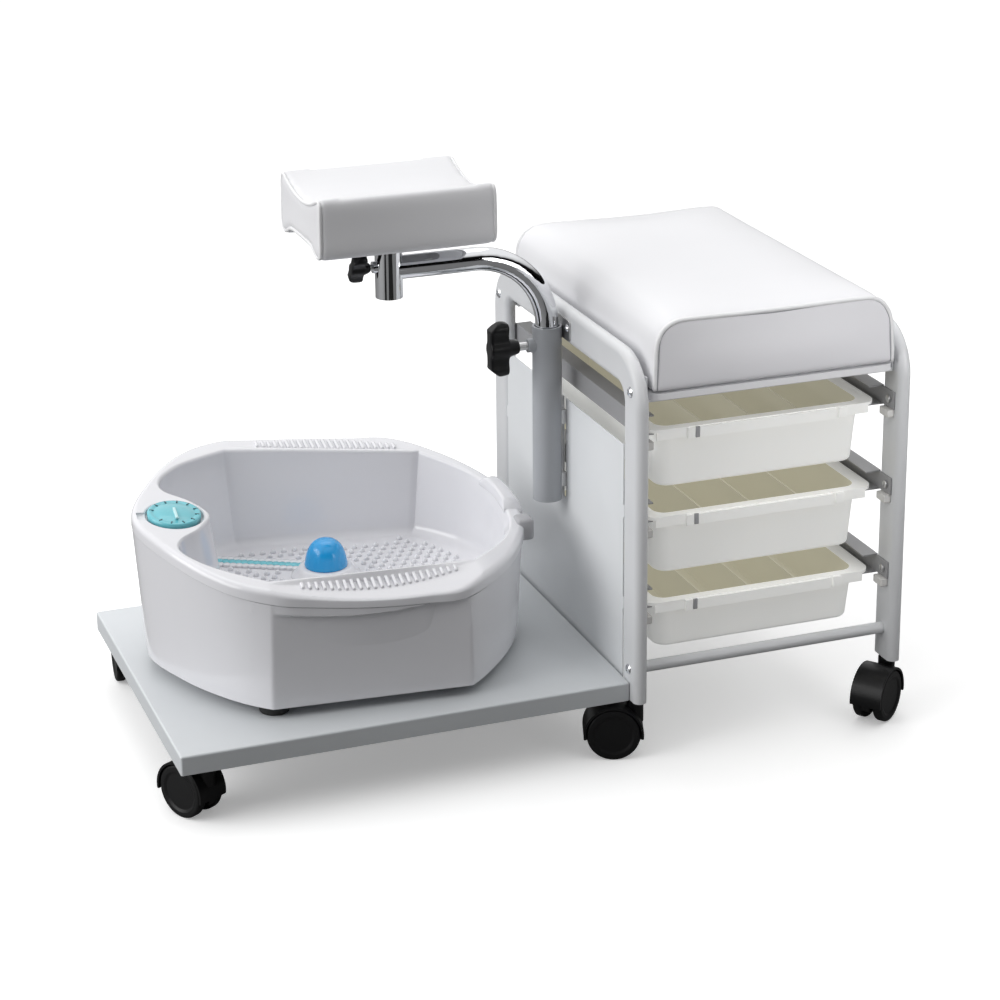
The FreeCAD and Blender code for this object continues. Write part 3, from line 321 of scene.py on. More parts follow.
def tube_mesh(points, radius, name, closed=False, sides=10):
    """Round tube along a polyline, its section carried along without twist."""
    points = [Vector(p) for p in points]
    count = len(points)
    tangents = []
    for i in range(count):
        before = points[i - 1] if i > 0 or closed else points[0]
        after = points[(i + 1) % count] if i < count - 1 or closed else points[-1]
        tangents.append((after - before).normalized())
    side = tangents[0].orthogonal().normalized()
    rings = []
    for point, tangent in zip(points, tangents):
        side = (side - tangent * side.dot(tangent)).normalized()
        other = tangent.cross(side)
        rings.append([point + (side * math.cos(a) + other * math.sin(a)) * radius
                      for a in (TAU * k / sides for k in range(sides))])
    if closed:
        rings.append(rings[0])
        mesh = loft_mesh(rings, name, False, False)
        work = bmesh.new()
        work.from_mesh(mesh)
        bmesh.ops.remove_doubles(work, verts=work.verts, dist=JOIN_GAP)
        work.to_mesh(mesh)
        work.free()
        return mesh
    return loft_mesh(rings, name)


def turned(profile, sides, place):
    """Surface turned round the z axis from (radius, height) points, first and last closed."""
    rings = [[place @ Vector((r * math.cos(a), r * math.sin(a), z))
              for a in (TAU * k / sides for k in range(sides))] for r, z in profile]
    return loft_mesh(rings, "turned")


def rounded_block(x0, x1, y0, y1, z0, z1, radius, place=None):
    """Box with rounded edges."""
    work = bmesh.new()
    bmesh.ops.create_cube(work, size=1.0)
    for vertex in work.verts:
        vertex.co = Vector(((x0 + x1) / 2 + vertex.co.x * (x1 - x0),
                            (y0 + y1) / 2 + vertex.co.y * (y1 - y0),
                            (z0 + z1) / 2 + vertex.co.z * (z1 - z0)))
    bmesh.ops.bevel(work, geom=work.edges[:] + work.verts[:], offset=radius, segments=4,
                    profile=0.5, affect="EDGES")
    mesh = bpy.data.meshes.new("block")
    work.to_mesh(mesh)
    work.free()
    if place is not None:
        mesh.transform(place)
    return mesh


def join_meshes(meshes, name):
    work = bmesh.new()
    for mesh in meshes:
        work.from_mesh(mesh)
    joined = bpy.data.meshes.new(name)
    work.to_mesh(joined)
    work.free()
    return joined


def evaluated_mesh(obj):
    depsgraph = bpy.context.evaluated_depsgraph_get()
    depsgraph.update()
    return bpy.data.meshes.new_from_object(obj.evaluated_get(depsgraph))


def apply_modifiers(obj):
    mesh = evaluated_mesh(obj)
    obj.modifiers.clear()
    obj.data = mesh


def shade_smooth(obj):
    obj.data.polygons.foreach_set("use_smooth", [True] * len(obj.data.polygons))


def arc(centre, radius, start, end, steps):
    """Points on an arc in a plane, angles in degrees, both ends included."""
    return [(centre[0] + radius * math.cos(math.radians(start + (end - start) * i / steps)),
             centre[1] + radius * math.sin(math.radians(start + (end - start) * i / steps)))
            for i in range(steps + 1)]


def resample(points, spacing, closed=True):
    """Evenly spaced points along a polyline."""
    points = [Vector(p) for p in points]
    if closed:
        points.append(points[0])
    lengths = [(b - a).length for a, b in zip(points, points[1:])]
    count = max(int(sum(lengths) / spacing), 3)
    step = sum(lengths) / count
    out, index, used = [], 0, 0.0
    for i in range(count + (0 if closed else 1)):
        want = i * step
        while index < len(lengths) - 1 and used + lengths[index] < want:
            used += lengths[index]
            index += 1
        share = (want - used) / lengths[index] if lengths[index] else 0
        out.append(points[index].lerp(points[index + 1], min(share, 1.0)))
    return out


# ---- padded pieces ----
SIM_FRAMES = 20
EASING_ROUNDS = 90
PRESSURE = 4.0
THREAD_RADIUS = 0.0008


def eased(mesh, moves, still):
    """Spreads the moves of a mesh's points over their neighbours: taut vinyl has no small creases."""
    moves = numpy.array([tuple(m) for m in moves])
    free = 1.0 - numpy.array(still, dtype=float)[:, None]
    ends = numpy.array([tuple(e.vertices) for e in mesh.edges])
    count = numpy.maximum(numpy.bincount(ends.ravel(), minlength=len(moves)), 1)[:, None]
    for _ in range(EASING_ROUNDS):
        total = numpy.zeros_like(moves)
        numpy.add.at(total, ends[:, 0], moves[ends[:, 1]])
        numpy.add.at(total, ends[:, 1], moves[ends[:, 0]])
        moves = (moves + total / count) / 2 * free
    return [tuple(float(c) for c in m) for m in moves]


def inflate(obj, voxel, cap, held):
    """Remeshes a closed form and lets cloth swell it by up to cap; held(point) keeps a point still."""
    remesh = obj.modifiers.new("remesh", "REMESH")
    remesh.mode = "VOXEL"
    remesh.voxel_size = voxel
    smooth = obj.modifiers.new("smooth", "SMOOTH")
    smooth.factor = 0.5
    smooth.iterations = 3
    apply_modifiers(obj)
    start = [v.co.copy() for v in obj.data.vertices]
    group = obj.vertex_groups.new(name="held")
    group.add([i for i, p in enumerate(start) if held(p)], 1.0, "REPLACE")
    cloth = obj.modifiers.new("cloth", "CLOTH")
    cloth.settings.quality = 6
    cloth.settings.mass = 0.3
    cloth.settings.tension_stiffness = 25
    cloth.settings.compression_stiffness = 25
    cloth.settings.bending_stiffness = 0.6
    cloth.settings.use_pressure = True
    cloth.settings.uniform_pressure_force = PRESSURE
    cloth.settings.effector_weights.gravity = 0
    cloth.settings.vertex_group_mass = "held"
    cloth.point_cache.frame_start = 1
    cloth.point_cache.frame_end = SIM_FRAMES
    for frame_number in range(1, SIM_FRAMES + 1):
        bpy.context.scene.frame_set(frame_number)
    mesh = evaluated_mesh(obj)
    moves = []
    for vertex, old in zip(mesh.vertices, start):
        move = vertex.co - old
        moves.append(move.normalized() * min(move.length, cap))
    moves = eased(mesh, moves, [held(p) for p in start])
    for vertex, old, move in zip(mesh.vertices, start, moves):
        vertex.co = old + Vector(move)
    obj.modifiers.clear()
    obj.vertex_groups.clear()
    obj.data = mesh
    bpy.context.scene.frame_set(1)
    subdivision = obj.modifiers.new("subdivision", "SUBSURF")
    subdivision.levels = subdivision.render_levels = 1
    apply_modifiers(obj)
    shade_smooth(obj)


def surface_tree(obj):
    return BVHTree.FromPolygons([v.co for v in obj.data.vertices],
                                [tuple(p.vertices) for p in obj.data.polygons])


def press_seam(obj, path, width, depth):
    """Draws the surface in along a closed path, so that a sewn line lies in a valley."""
    ring = [Vector(p) for p in path]
    sliver = Vector((0, 0, 1e-6))
    tree = BVHTree.FromPolygons([p for q in ring for p in (q, q + sliver)],
                                [(2 * i, 2 * i + 1, 2 * ((i + 1) % len(ring)))
                                 for i in range(len(ring))])
    normals = [v.normal.copy() for v in obj.data.vertices]
    for vertex, normal in zip(obj.data.vertices, normals):
        hit = tree.find_nearest(vertex.co, width * 2.5)
        if hit[0] is not None:
            vertex.co -= normal * depth * math.exp(-(hit[3] / width) ** 2)


def on_surface(tree, points, lift):
    out = []
    for point in points:
        place, normal, _, _ = tree.find_nearest(point)
        out.append(place + normal * lift)
    return out


def smooth_path(points, rounds, closed=False):
    points = [Vector(p) for p in points]
    for _ in range(rounds):
        last = len(points) - 1
        points = [p if not closed and i in (0, last) else
                  (points[i - 1] + p * 2 + points[(i + 1) % len(points)]) / 4
                  for i, p in enumerate(points)]
    return points


def sewn_edge(name, obj, path, body, piping_radius, closed=False, thread_shift=None):
    """Piping laid along a path on the surface, with a dark stitched line beside it if shifted."""
    tree = surface_tree(obj)
    line = smooth_path(on_surface(tree, path, piping_radius * 0.45), 3, closed)
    piping = add_object(name, tube_mesh(line, piping_radius, name, closed), PIPING)
    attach(piping, body)
    if thread_shift is not None:
        shifted = [p + thread_shift(p) for p in path]
        thread_line = smooth_path(on_surface(tree, shifted, 0.0001), 3, closed)
        thread_mesh = tube_mesh(thread_line, THREAD_RADIUS, name + "_thread", closed, 6)
        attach(add_object(name + "_thread", thread_mesh, SEAM), body)


def seat_profile(x0, x1, z0, z1, corner, steps=8):
    """Inverted U in x and z, from the bottom left over the top to the bottom right."""
    waist = z0 + (z1 - z0) * 0.4
    left = [(x0, z0), (x0, waist)] + arc((x0 + corner, z1 - corner), corner, 180, 90, steps)
    right = arc((x1 - corner, z1 - corner), corner, 90, 0, steps) + [(x1, waist), (x1, z0)]
    return left + right


def build_seat_cushion():
    low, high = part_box("seat_cushion")
    x0, x1 = low.x + 0.0012, high.x - 0.0012
    y0, y1 = low.y + 0.001, high.y - 0.001
    z0, z1 = low.z + 0.0004, high.z - 0.003
    corner = 0.024
    stations = [y0, y0 + 0.0012]
    stations += [y0 + (y1 - y0) * i / 24 for i in range(1, 24)]
    stations += [y1 - 0.0012, y1]
    rings = []
    for y in stations:
        t = (y - y0) / (y1 - y0) * 2 - 1
        crown = 0.0025 * (1 - t * t)
        pulled = 0.0008 if y in (y0, y1) else 0.0
        section = seat_profile(x0 + pulled, x1 - pulled, z0, z1 - pulled, corner)
        ring = []
        for x, z in section:
            across = (x - x0) / (x1 - x0) * 2 - 1
            lift = crown * (1 - across * across) if z > z1 - corner else 0.0
            ring.append((x, y, z + lift))
        rings.append(ring)
    obj = add_object("seat_cushion_cover", loft_mesh(rings, "seat_cushion_cover"), VINYL)
    floor = z0 + 0.006
    inflate(obj, 0.005, 0.006, lambda p: p.z < floor)
    outline = seat_profile(x0, x1, z0 + 0.001, z1, corner, 12)
    paths = {}
    for label, y in (("front", y0 + 0.001), ("back", y1 - 0.001)):
        paths[label] = resample([(x, y, z) for x, z in outline], 0.004, closed=False)
        press_seam(obj, paths[label], 0.0035, 0.0015)
    # The end panels get the greyer vinyl copy: painted shade.
    obj.data.materials.append(VINYL_PAINTED_SHADE)
    for polygon in obj.data.polygons:
        at_end = polygon.center.y < y0 + 0.012 or polygon.center.y > y1 - 0.012
        if abs(polygon.normal.y) > 0.75 and at_end:
            polygon.material_index = 1
    middle = Vector(((x0 + x1) / 2, 0, (z0 + z1) / 2))
    for label, path in paths.items():
        outward = -0.001 if label == "front" else 0.001

        def beside(p, shift=outward):
            pull = middle - p
            pull.y = 0
            return pull.normalized() * 0.0036 + Vector((0, shift, 0))
        sewn_edge("seat_piping_" + label, obj, path, "trolley_frame", 0.0021, False, beside)
    for polygon in obj.data.polygons:
        if polygon.center.z < low.z + 0.002:
            polygon.material_index = 0
    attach(obj, "trolley_frame")
    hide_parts("seat_cushion")


def pad_profile(half, low, high, dish, arch):
    """Saddle section in y and z: dished top, arched underside, rounded upper and lower lips."""
    def top(y):
        return high - dish * (1 - (y / half) ** 2)
    points = []
    steps = 28
    for i in range(steps + 1):
        y = (half - 0.007) * (1 - 2 * i / steps)
        points.append((y, top(y)))
    points += [(-half + 0.0025, high - 0.003), (-half, high - 0.010), (-half + 0.0005, high - 0.030),
               (-half, low + 0.010), (-half + 0.003, low + 0.003), (-half + 0.012, low + 0.0015)]
    points += [(-0.035, arch), (-0.018, arch + 0.0005), (0.018, arch + 0.0005), (0.035, arch)]
    points += [(half - 0.012, low + 0.0015), (half - 0.003, low + 0.003), (half, low + 0.010),
               (half - 0.0005, high - 0.030), (half, high - 0.010), (half - 0.0025, high - 0.003)]
    return points


def build_footrest_pad():
    low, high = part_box("footrest_pad")
    mid_y = (low.y + high.y) / 2
    half = (high.y - low.y) / 2 - 0.002
    x0, x1 = low.x + 0.0015, high.x - 0.0015
    arch = low.z + 0.0105
    rings = []
    steps = 22
    for i in range(steps + 1):
        t = i / steps * 2 - 1
        x = x0 + (x1 - x0) * i / steps
        corner = abs(t) ** 5
        lift = 0.0015 * corner
        section = pad_profile(half - 0.001 * corner, low.z + 0.0008, high.z - 0.0035 + lift,
                              0.0165, arch)
        rings.append([(x, mid_y + y, z) for y, z in section])
    obj = add_object("footrest_pad_cover", loft_mesh(rings, "footrest_pad_cover"), VINYL)
    inflate(obj, 0.004, 0.005, lambda p: p.z < low.z + 0.0125 and abs(p.y - mid_y) < half - 0.006)
    section = pad_profile(half - 0.001, low.z + 0.001, high.z - 0.002, 0.0165, arch)
    for x, label in ((x0 + 0.0008, "left"), (x1 - 0.0008, "right")):
        path = resample([(x, mid_y + y, z) for y, z in section], 0.004)
        press_seam(obj, path, 0.003, 0.0013)
        sewn_edge("pad_piping_" + label, obj, path, "footrest", 0.0017, True)
    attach(obj, "footrest")
    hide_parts("footrest_pad")


build_seat_cushion()
build_footrest_pad()


# ---- foot bath, in its own axes (metres): the dial end at -x, the low side of the rim at -y ----
BATH_PLACE = Matrix.Translation((-0.155, 0.014, 0)) @ Matrix.Rotation(math.radians(-5), 4, "Z")
BATH_LOW = 0.0845
BATH_FLOOR = 0.1345
RIM_LEVEL, RIM_SLOPE_X, RIM_SLOPE_Y = 0.2109, -0.073, 0.12
FACET_Y = -0.153
FACET_TOP = 0.178
WALL = 0.003
RING_POINTS = 540
ANGLES = [TAU * i / RING_POINTS for i in range(RING_POINTS)]
STRIP_SPOT = (-0.0545, 0.069)
STRIP_TURN = math.radians(24)
STRIP_SLOPE = 0.445
STRIP_PITCH = 0.0062
DIAL_SPOT = (-0.144, 0.0)
KNOB_SPOT = (0.002, 0.026)
# For each ribbed hand grip: its side of the mouth, where it starts and ends along x, where the edge
# of the mouth crosses x = 0, the slope of that edge, and how deep the grip sinks.
GRIPS = ((-1, -0.082, 0.114, 0.1250, -0.133, 0.0066), (1, -0.068, 0.114, 0.1312, -0.095, 0.0030))
GRIP_RIBS = 23
# Outlines in mm from the middle of the bath: the body under the rim, its foot, and the tub's mouth.
UPPER_POINTS = [(184, 0), (178, 45), (148, 102), (98, 152), (55, 159), (7, 161.5), (-40, 159),
                (-83, 152.5), (-124, 124), (-160, 68), (-183, 0), (-160, -68), (-124, -124),
                (-83, -152.5), (-40, -159), (7, -161.5), (55, -159), (98, -152), (148, -102),
                (178, -45)]
LOWER_POINTS = [(177, 0), (171, 45), (143, 100), (98, 154.5), (55, 176), (7, 182), (-40, 176),
                (-83, 154.5), (-119, 120), (-153, 66), (-175, 0), (-153, -66), (-119, -120),
                (-83, -154.5), (-40, -176), (7, -182), (55, -176), (98, -154.5), (143, -100),
                (171, -45)]
MOUTH_POINTS = [(169, 0), (166, 33), (151, 74), (117, 115), (112, 116.5), (60, 122), (0, 127.5),
                (-66, 131.5), (-78, 130), (-119, 106), (-140, 84), (-148, 64), (-143, 46),
                (-124, 27), (-111, 0), (-124, -27), (-143, -46), (-149, -64), (-140, -84),
                (-119, -106), (-84, -129), (-74, -130.6), (0, -121.3), (104, -107.4),
                (114, -105), (150, -70), (166, -36)]


def rim_height(x, y):
    return RIM_LEVEL + RIM_SLOPE_X * x + RIM_SLOPE_Y * y


def closed_curve(points, steps=16):
    """Catmull-Rom curve through the points, as a dense closed polyline."""
    out = []
    count = len(points)
    for i in range(count):
        p0, p1, p2, p3 = (Vector(points[(i + k - 1) % count]) for k in range(4))
        for s in range(steps):
            t = s / steps
            out.append(0.5 * ((2 * p1) + (p2 - p0) * t + (2 * p0 - 5 * p1 + 4 * p2 - p3) * t * t
                              + (3 * p1 - p0 - 3 * p2 + p3) * t ** 3))
    return out


def radii(points):
    """Distance of a star-shaped outline from the middle, at each of ANGLES."""
    curve = closed_curve([(x * MM, y * MM) for x, y in points])
    polar = sorted((math.atan2(p.y, p.x) % TAU, p.length) for p in curve)
    before = (polar[-1][0] - TAU, polar[-1][1])
    after = (polar[0][0] + TAU, polar[0][1])
    polar = [before] + polar + [after]
    out, index = [], 0
    for angle in ANGLES:
        while polar[index + 1][0] < angle:
            index += 1
        (a, ra), (b, rb) = polar[index], polar[index + 1]
        share = (angle - a) / (b - a) if b > a else 0
        out.append(ra + (rb - ra) * share)
    return out


UPPER_R = radii(UPPER_POINTS)
LOWER_R = radii(LOWER_POINTS)
MOUTH_R = radii(MOUTH_POINTS)


def facet_top(x):
    """Upper edge of the flat front and back: it sags in the middle."""
    return FACET_TOP - 0.009 * max(1 - ((x - 0.007) / 0.095) ** 2, 0.0)


def angle_index(angle):
    """Index in ANGLES at or just below an angle."""
    return int((angle % TAU) / TAU * RING_POINTS) % RING_POINTS


def wall_radius(i, z):
    """Outside of the body at angle i and height z: drafted ends, flat front and back below the brow."""
    share = min(max((z - BATH_LOW) / (RIM_LEVEL - BATH_LOW), 0.0), 1.0)
    radius = LOWER_R[i] + (UPPER_R[i] - LOWER_R[i]) * share
    sine = abs(math.sin(ANGLES[i]))
    if sine < 0.5:
        return radius
    upper = UPPER_R[i] - 0.0003
    x = upper * math.cos(ANGLES[i])
    flat = min(radius, -FACET_Y / sine)
    brow = min(max((z - facet_top(x)) / 0.0035 + 0.5, 0.0), 1.0)
    brow = brow * brow * (3 - 2 * brow)
    return flat + (max(upper, flat) - flat) * brow if -0.1 < x < 0.115 else min(radius, flat)


def spot(i, radius, z=None, drop=0.0):
    x = radius * math.cos(ANGLES[i])
    y = radius * math.sin(ANGLES[i])
    return (x, y, rim_height(x, y) - drop if z is None else z)


def rim_top(i):
    """Outside radius of the rim at its shoulder."""
    return UPPER_R[i] + 0.0003


def bath_object(name, mesh, material, body="foot_bath"):
    mesh.transform(BATH_PLACE)
    obj = add_object(name, mesh, material)
    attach(obj, body)
    return obj


def ledge_depth(x, y):
    """How far the ribbed hand grips sink outside the straight edges of the mouth, front and back."""
    for side, start, end, middle, slope, sink in GRIPS:
        along = (x - start) / (end - start)
        outside = side * y - (middle + slope * x)
        if 0 < along < 1 and outside > 0:
            step = min(outside / 0.004, 1.0)
            return sink * math.sin(math.pi * along) ** 0.8 * step * step * (3 - 2 * step)
    return 0.0


def bath_basin_mesh():
    rings = []
    floor_back = BATH_FLOOR - WALL
    everywhere = range(RING_POINTS)

    def mouth(i, z):
        share = (rim_height(0, 0) - z) / (RIM_LEVEL - BATH_FLOOR)
        return MOUTH_R[i] - 0.011 * share
    for share in (0.25, 0.6, 0.93):
        rings.append([spot(i, mouth(i, floor_back) * share, floor_back) for i in everywhere])
    rings.append([spot(i, mouth(i, floor_back) + 0.002, floor_back + 0.006) for i in everywhere])
    rings.append([spot(i, MOUTH_R[i] + 0.003, drop=0.013) for i in everywhere])
    for inset, drop in ((0.003, 0.0128), (0.0005, 0.0125), (-0.0001, 0.0119)):
        ring = []
        for i in everywhere:
            x, y, z = spot(i, rim_top(i) - inset, drop=drop)
            ring.append((x, y, z - ledge_depth(x, y) * 0.3))
        rings.append(ring)
    shoulder = 0.0055
    for k in range(7):
        a = math.radians(90 * k / 6)
        ring = []
        for i in everywhere:
            x, y, z = spot(i, rim_top(i) - shoulder * (1 - math.cos(a)), drop=shoulder * (1 - math.sin(a)))
            ring.append((x, y, z - ledge_depth(x, y) * (0.4 + 0.6 * math.sin(a))))
        rings.append(ring)
    inner_round = 0.0032
    for share in (0.12, 0.25, 0.4, 0.55, 0.68, 0.76, 0.82, 0.87, 0.91, 0.95, 0.98):
        ring = []
        for i in everywhere:
            outer, inner = rim_top(i) - shoulder, MOUTH_R[i] + inner_round
            x, y, z = spot(i, outer + (inner - outer) * share)
            ring.append((x, y, z - ledge_depth(x, y)))
        rings.append(ring)
    for k in range(7):
        a = math.radians(90 * k / 6)
        rings.append([spot(i, MOUTH_R[i] + inner_round * (1 - math.sin(a)),
                           drop=inner_round * (1 - math.cos(a))) for i in everywhere])
    fillet = 0.012
    for k in range(1, 11):
        ring = []
        for i in everywhere:
            top = spot(i, MOUTH_R[i], drop=inner_round)[2]
            z = top + (BATH_FLOOR + fillet - top) * k / 10
            ring.append(spot(i, mouth(i, z), z))
        rings.append(ring)
    for k in range(1, 6):
        a = math.radians(90 * k / 5)
        rings.append([spot(i, mouth(i, BATH_FLOOR + fillet) - fillet * (1 - math.cos(a)),
                           BATH_FLOOR + fillet * (1 - math.sin(a))) for i in everywhere])
    for share in (0.8, 0.55, 0.3, 0.12):
        rings.append([spot(i, (mouth(i, BATH_FLOOR) - fillet) * share, BATH_FLOOR) for i in everywhere])
    return loft_mesh(rings, "bath_basin_skin")


def bath_shell_mesh():
    everywhere = range(RING_POINTS)
    rings = []
    brow_start = 0.160
    levels = [BATH_LOW + (brow_start - BATH_LOW) * k / 8 for k in range(9)]
    levels += [brow_start + 0.0011 * k for k in range(1, 24)]
    for z, inset in ((BATH_LOW + 0.006, WALL), (BATH_LOW + 0.0004, WALL), (BATH_LOW, 0.0022),
                     (BATH_LOW + 0.0008, 0.0006)):
        rings.append([spot(i, wall_radius(i, z) - inset, z) for i in everywhere])

    def below_rim(i, z):
        x, y, under = spot(i, rim_top(i), drop=0.0128)
        return min(z, under - ledge_depth(x, y) * 0.3)
    for z in levels[1:]:
        rings.append([spot(i, wall_radius(i, below_rim(i, z)), below_rim(i, z)) for i in everywhere])
    top = levels[-1]
    past_rim = 0.24
    for share in (0.2, 0.4, 0.6, 0.8, 1.0):
        ring = []
        for i in everywhere:
            z = below_rim(i, top + (past_rim - top) * share)
            ring.append(spot(i, wall_radius(i, z), z))
        rings.append(ring)
    for z in (past_rim, BATH_LOW + 0.03):
        rings.append([spot(i, wall_radius(i, below_rim(i, z)) - WALL, below_rim(i, z))
                      for i in everywhere])
    return loft_mesh(rings + [rings[0]], "bath_shell_skin", False, False)


def cut_with(obj, cutter_mesh):
    """Takes a closed mesh away from an object, for good."""
    cutter = add_object("cutter", cutter_mesh, BATH)
    cut = obj.modifiers.new("cut", "BOOLEAN")
    cut.operation = "DIFFERENCE"
    cut.solver = "EXACT"
    cut.object = cutter
    apply_modifiers(obj)
    bpy.data.objects.remove(cutter)


def rim_tilt(x, y, z):
    """Placement at a point with its z axis square to the rim plane."""
    normal = Vector((-RIM_SLOPE_X, -RIM_SLOPE_Y, 1)).normalized()
    turn = Vector((0, 0, 1)).rotation_difference(normal).to_matrix().to_4x4()
    return Matrix.Translation((x, y, z)) @ turn


def build_bath():
    basin = bath_object("bath_basin_skin", bath_basin_mesh(), BATH)
    dial_at = rim_tilt(DIAL_SPOT[0], DIAL_SPOT[1], rim_height(*DIAL_SPOT))
    cut_at = BATH_PLACE @ dial_at
    pit = [(0.0264, -0.0046), (0.0268, -0.003), (0.0272, -0.0008), (0.0292, 0.0006), (0.0292, 0.006)]
    cut_with(basin, turned(pit, 96, cut_at))
    cut_with(basin, rounded_block(-0.0345, -0.0245, -0.007, 0.007, -0.0022, 0.01, 0.0015, cut_at))
    shade_smooth(basin)
    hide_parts("bath_basin")
    shell = bath_object("bath_shell_skin", bath_shell_mesh(), BATH)
    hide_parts("bath_shell")
    low = BATH_LOW + 0.0004
    plate = [[spot(i, (wall_radius(i, BATH_LOW) - 0.0034) * share, z) for i in range(RING_POINTS)]
             for share, z in ((0.2, low + 0.0024), (1, low + 0.0024), (1, low), (0.2, low))]
    cover = bath_object("bath_underside", loft_mesh(plate, "bath_underside"), GREY)
    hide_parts("bath_bottom_cover")
    for obj in (basin, shell):
        edges = obj.modifiers.new("edges", "EDGE_SPLIT")
        edges.split_angle = math.radians(32)
        apply_modifiers(obj)
    build_grips()
    build_floor_bumps()
    build_massage_knob()
    build_bubble_strips()
    build_dial(dial_at)
    build_rim_blocks()


def build_grips():
    """Row of narrow ribs in each of the two hand grips on the rim."""
    meshes = []
    for side, start, end, middle, slope, _ in GRIPS:
        reach = 0.017 if side < 0 else 0.022
        for k in range(GRIP_RIBS):
            share = k / (GRIP_RIBS - 1)
            x = start + (end - start) * (0.15 + 0.74 * share)
            length = reach * (0.5 + 0.5 * math.sin(math.pi * share))
            near = side * (middle + slope * x + 0.0028)
            far = near + side * length
            z0 = rim_height(x, near) - ledge_depth(x, near)
            z1 = rim_height(x, far) - ledge_depth(x, far)
            place = Matrix.Translation((x, (near + far) / 2, (z0 + z1) / 2 + 0.0006))
            tilt = math.atan2(side * (z1 - z0), side * (far - near))
            meshes.append(rounded_block(-0.0016, 0.0016, -length / 2, length / 2, -0.0017, 0.0017,
                                        0.0012, place @ Matrix.Rotation(tilt, 4, "X")))
    bath_object("bath_grip_ribs", join_meshes(meshes, "bath_grip_ribs"), BATH)


def build_floor_bumps():
    """Staggered bumps over the tub's floor, clear of the knob and of the bubble strips."""
    bumps = []
    bump = [(0.0029, -0.0004), (0.0026, 0.0015), (0.0018, 0.0031), (0.0006, 0.0037)]
    step = 0.0105
    for row in range(-9, 10):
        for column in range(-11, 14):
            x = column * step + (step / 2 if row % 2 else 0)
            y = row * step
            off_strip = abs(y) - STRIP_SPOT[1] + STRIP_SLOPE * (x - STRIP_SPOT[0])
            near_strip = abs(off_strip) < 0.018 and -0.106 < x < -0.006
            near_knob = math.hypot(x - KNOB_SPOT[0], y - KNOB_SPOT[1]) < 0.04
            limit = MOUTH_R[angle_index(math.atan2(y, x))] - 0.032
            if not (near_strip or near_knob or math.hypot(x, y) > limit):
                bumps.append(turned(bump, 10, Matrix.Translation((x, y, BATH_FLOOR))))
    bath_object("bath_floor_bumps", join_meshes(bumps, "bath_floor_bumps"), BATH)


def build_massage_knob():
    pedestal = [(0.034, -0.0005), (0.0335, 0.001), (0.0315, 0.0024), (0.028, 0.006), (0.0255, 0.0092),
                (0.0235, 0.01), (0.0015, 0.01)]
    at = Matrix.Translation((*KNOB_SPOT, BATH_FLOOR))
    bath_object("bath_pedestal", turned(pedestal, 72, at), BATH)
    dome = [(0.0205, 0.0), (0.0207, 0.0015), (0.0202, 0.004), (0.0195, 0.008), (0.0185, 0.012),
            (0.0170, 0.016), (0.0149, 0.0198), (0.0122, 0.0228), (0.0090, 0.0250), (0.0055, 0.0261),
            (0.0025, 0.0265), (0.0005, 0.0266)]
    at = Matrix.Translation((*KNOB_SPOT, BATH_FLOOR + 0.0101))
    knob = bath_object("massage_knob_dome", turned(dome, 64, at), BLUE, "massage_knob")
    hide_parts("massage_knob")


def build_bubble_strips():
    """Two rows of turquoise studs on a bar, each between two rows of pale studs."""
    stud = [(0.0046, -0.0016), (0.0046, 0.0004), (0.0036, 0.0013), (0.0006, 0.0015)]
    ridge = [(0.0040, -0.001), (0.0040, 0.0012), (0.0030, 0.0020), (0.0006, 0.0022)]
    studs, ridges = [], []
    for side in (-1, 1):
        along = (Matrix.Translation((STRIP_SPOT[0], side * STRIP_SPOT[1], BATH_FLOOR))
                 @ Matrix.Rotation(-side * STRIP_TURN, 4, "Z"))
        for k in range(14):
            at = along @ Matrix.Translation((-0.0403 + k * STRIP_PITCH, 0, 0.0014))
            studs.append(turned(stud, 20, at))
        studs.append(rounded_block(-0.0433, 0.0433, -0.0036, 0.0036, -0.0005, 0.0024, 0.0009, along))
        for edge in (-0.0078, 0.0078):
            for k in range(15):
                at = along @ Matrix.Translation((-0.0434 + k * STRIP_PITCH, edge, 0.0006))
                ridges.append(turned(ridge, 20, at))
    strips = bath_object("bath_bubble_strips", join_meshes(studs, "bath_bubble_strips"), TURQUOISE)
    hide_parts("bubble_strips")
    bath_object("bath_strip_ridges", join_meshes(ridges, "bath_strip_ridges"), BATH)


def build_dial(dial_at):
    """Ridged disc, its pointer and the marks round it."""
    disc = [(0.0249, -0.0038), (0.0250, 0.0012), (0.0246, 0.0022), (0.0238, 0.0028), (0.0216, 0.0032),
            (0.0205, 0.0026), (0.0188, 0.0026), (0.0170, 0.0034), (0.0110, 0.0044), (0.0050, 0.0049),
            (0.0005, 0.0050)]
    dial = bath_object("control_dial_disc", turned(disc, 96, dial_at), TURQUOISE, "control_dial")
    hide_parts("control_dial")
    pointer = rounded_block(-0.0015, 0.0015, -0.017, 0.004, 0.0040, 0.0062, 0.0009, dial_at)
    bath_object("control_dial_pointer", pointer, PALE_TURQUOISE, "control_dial")
    marks = []
    for k in range(11):
        turn = dial_at @ Matrix.Rotation(math.radians(30 * k - 135), 4, "Z")
        marks.append(rounded_block(0.0190, 0.0232, -0.0007, 0.0007, 0.0022, 0.00335, 0.0003, turn))
    joined = join_meshes(marks, "control_dial_marks")
    bath_object("control_dial_marks", joined, DARK_TEAL, "control_dial")


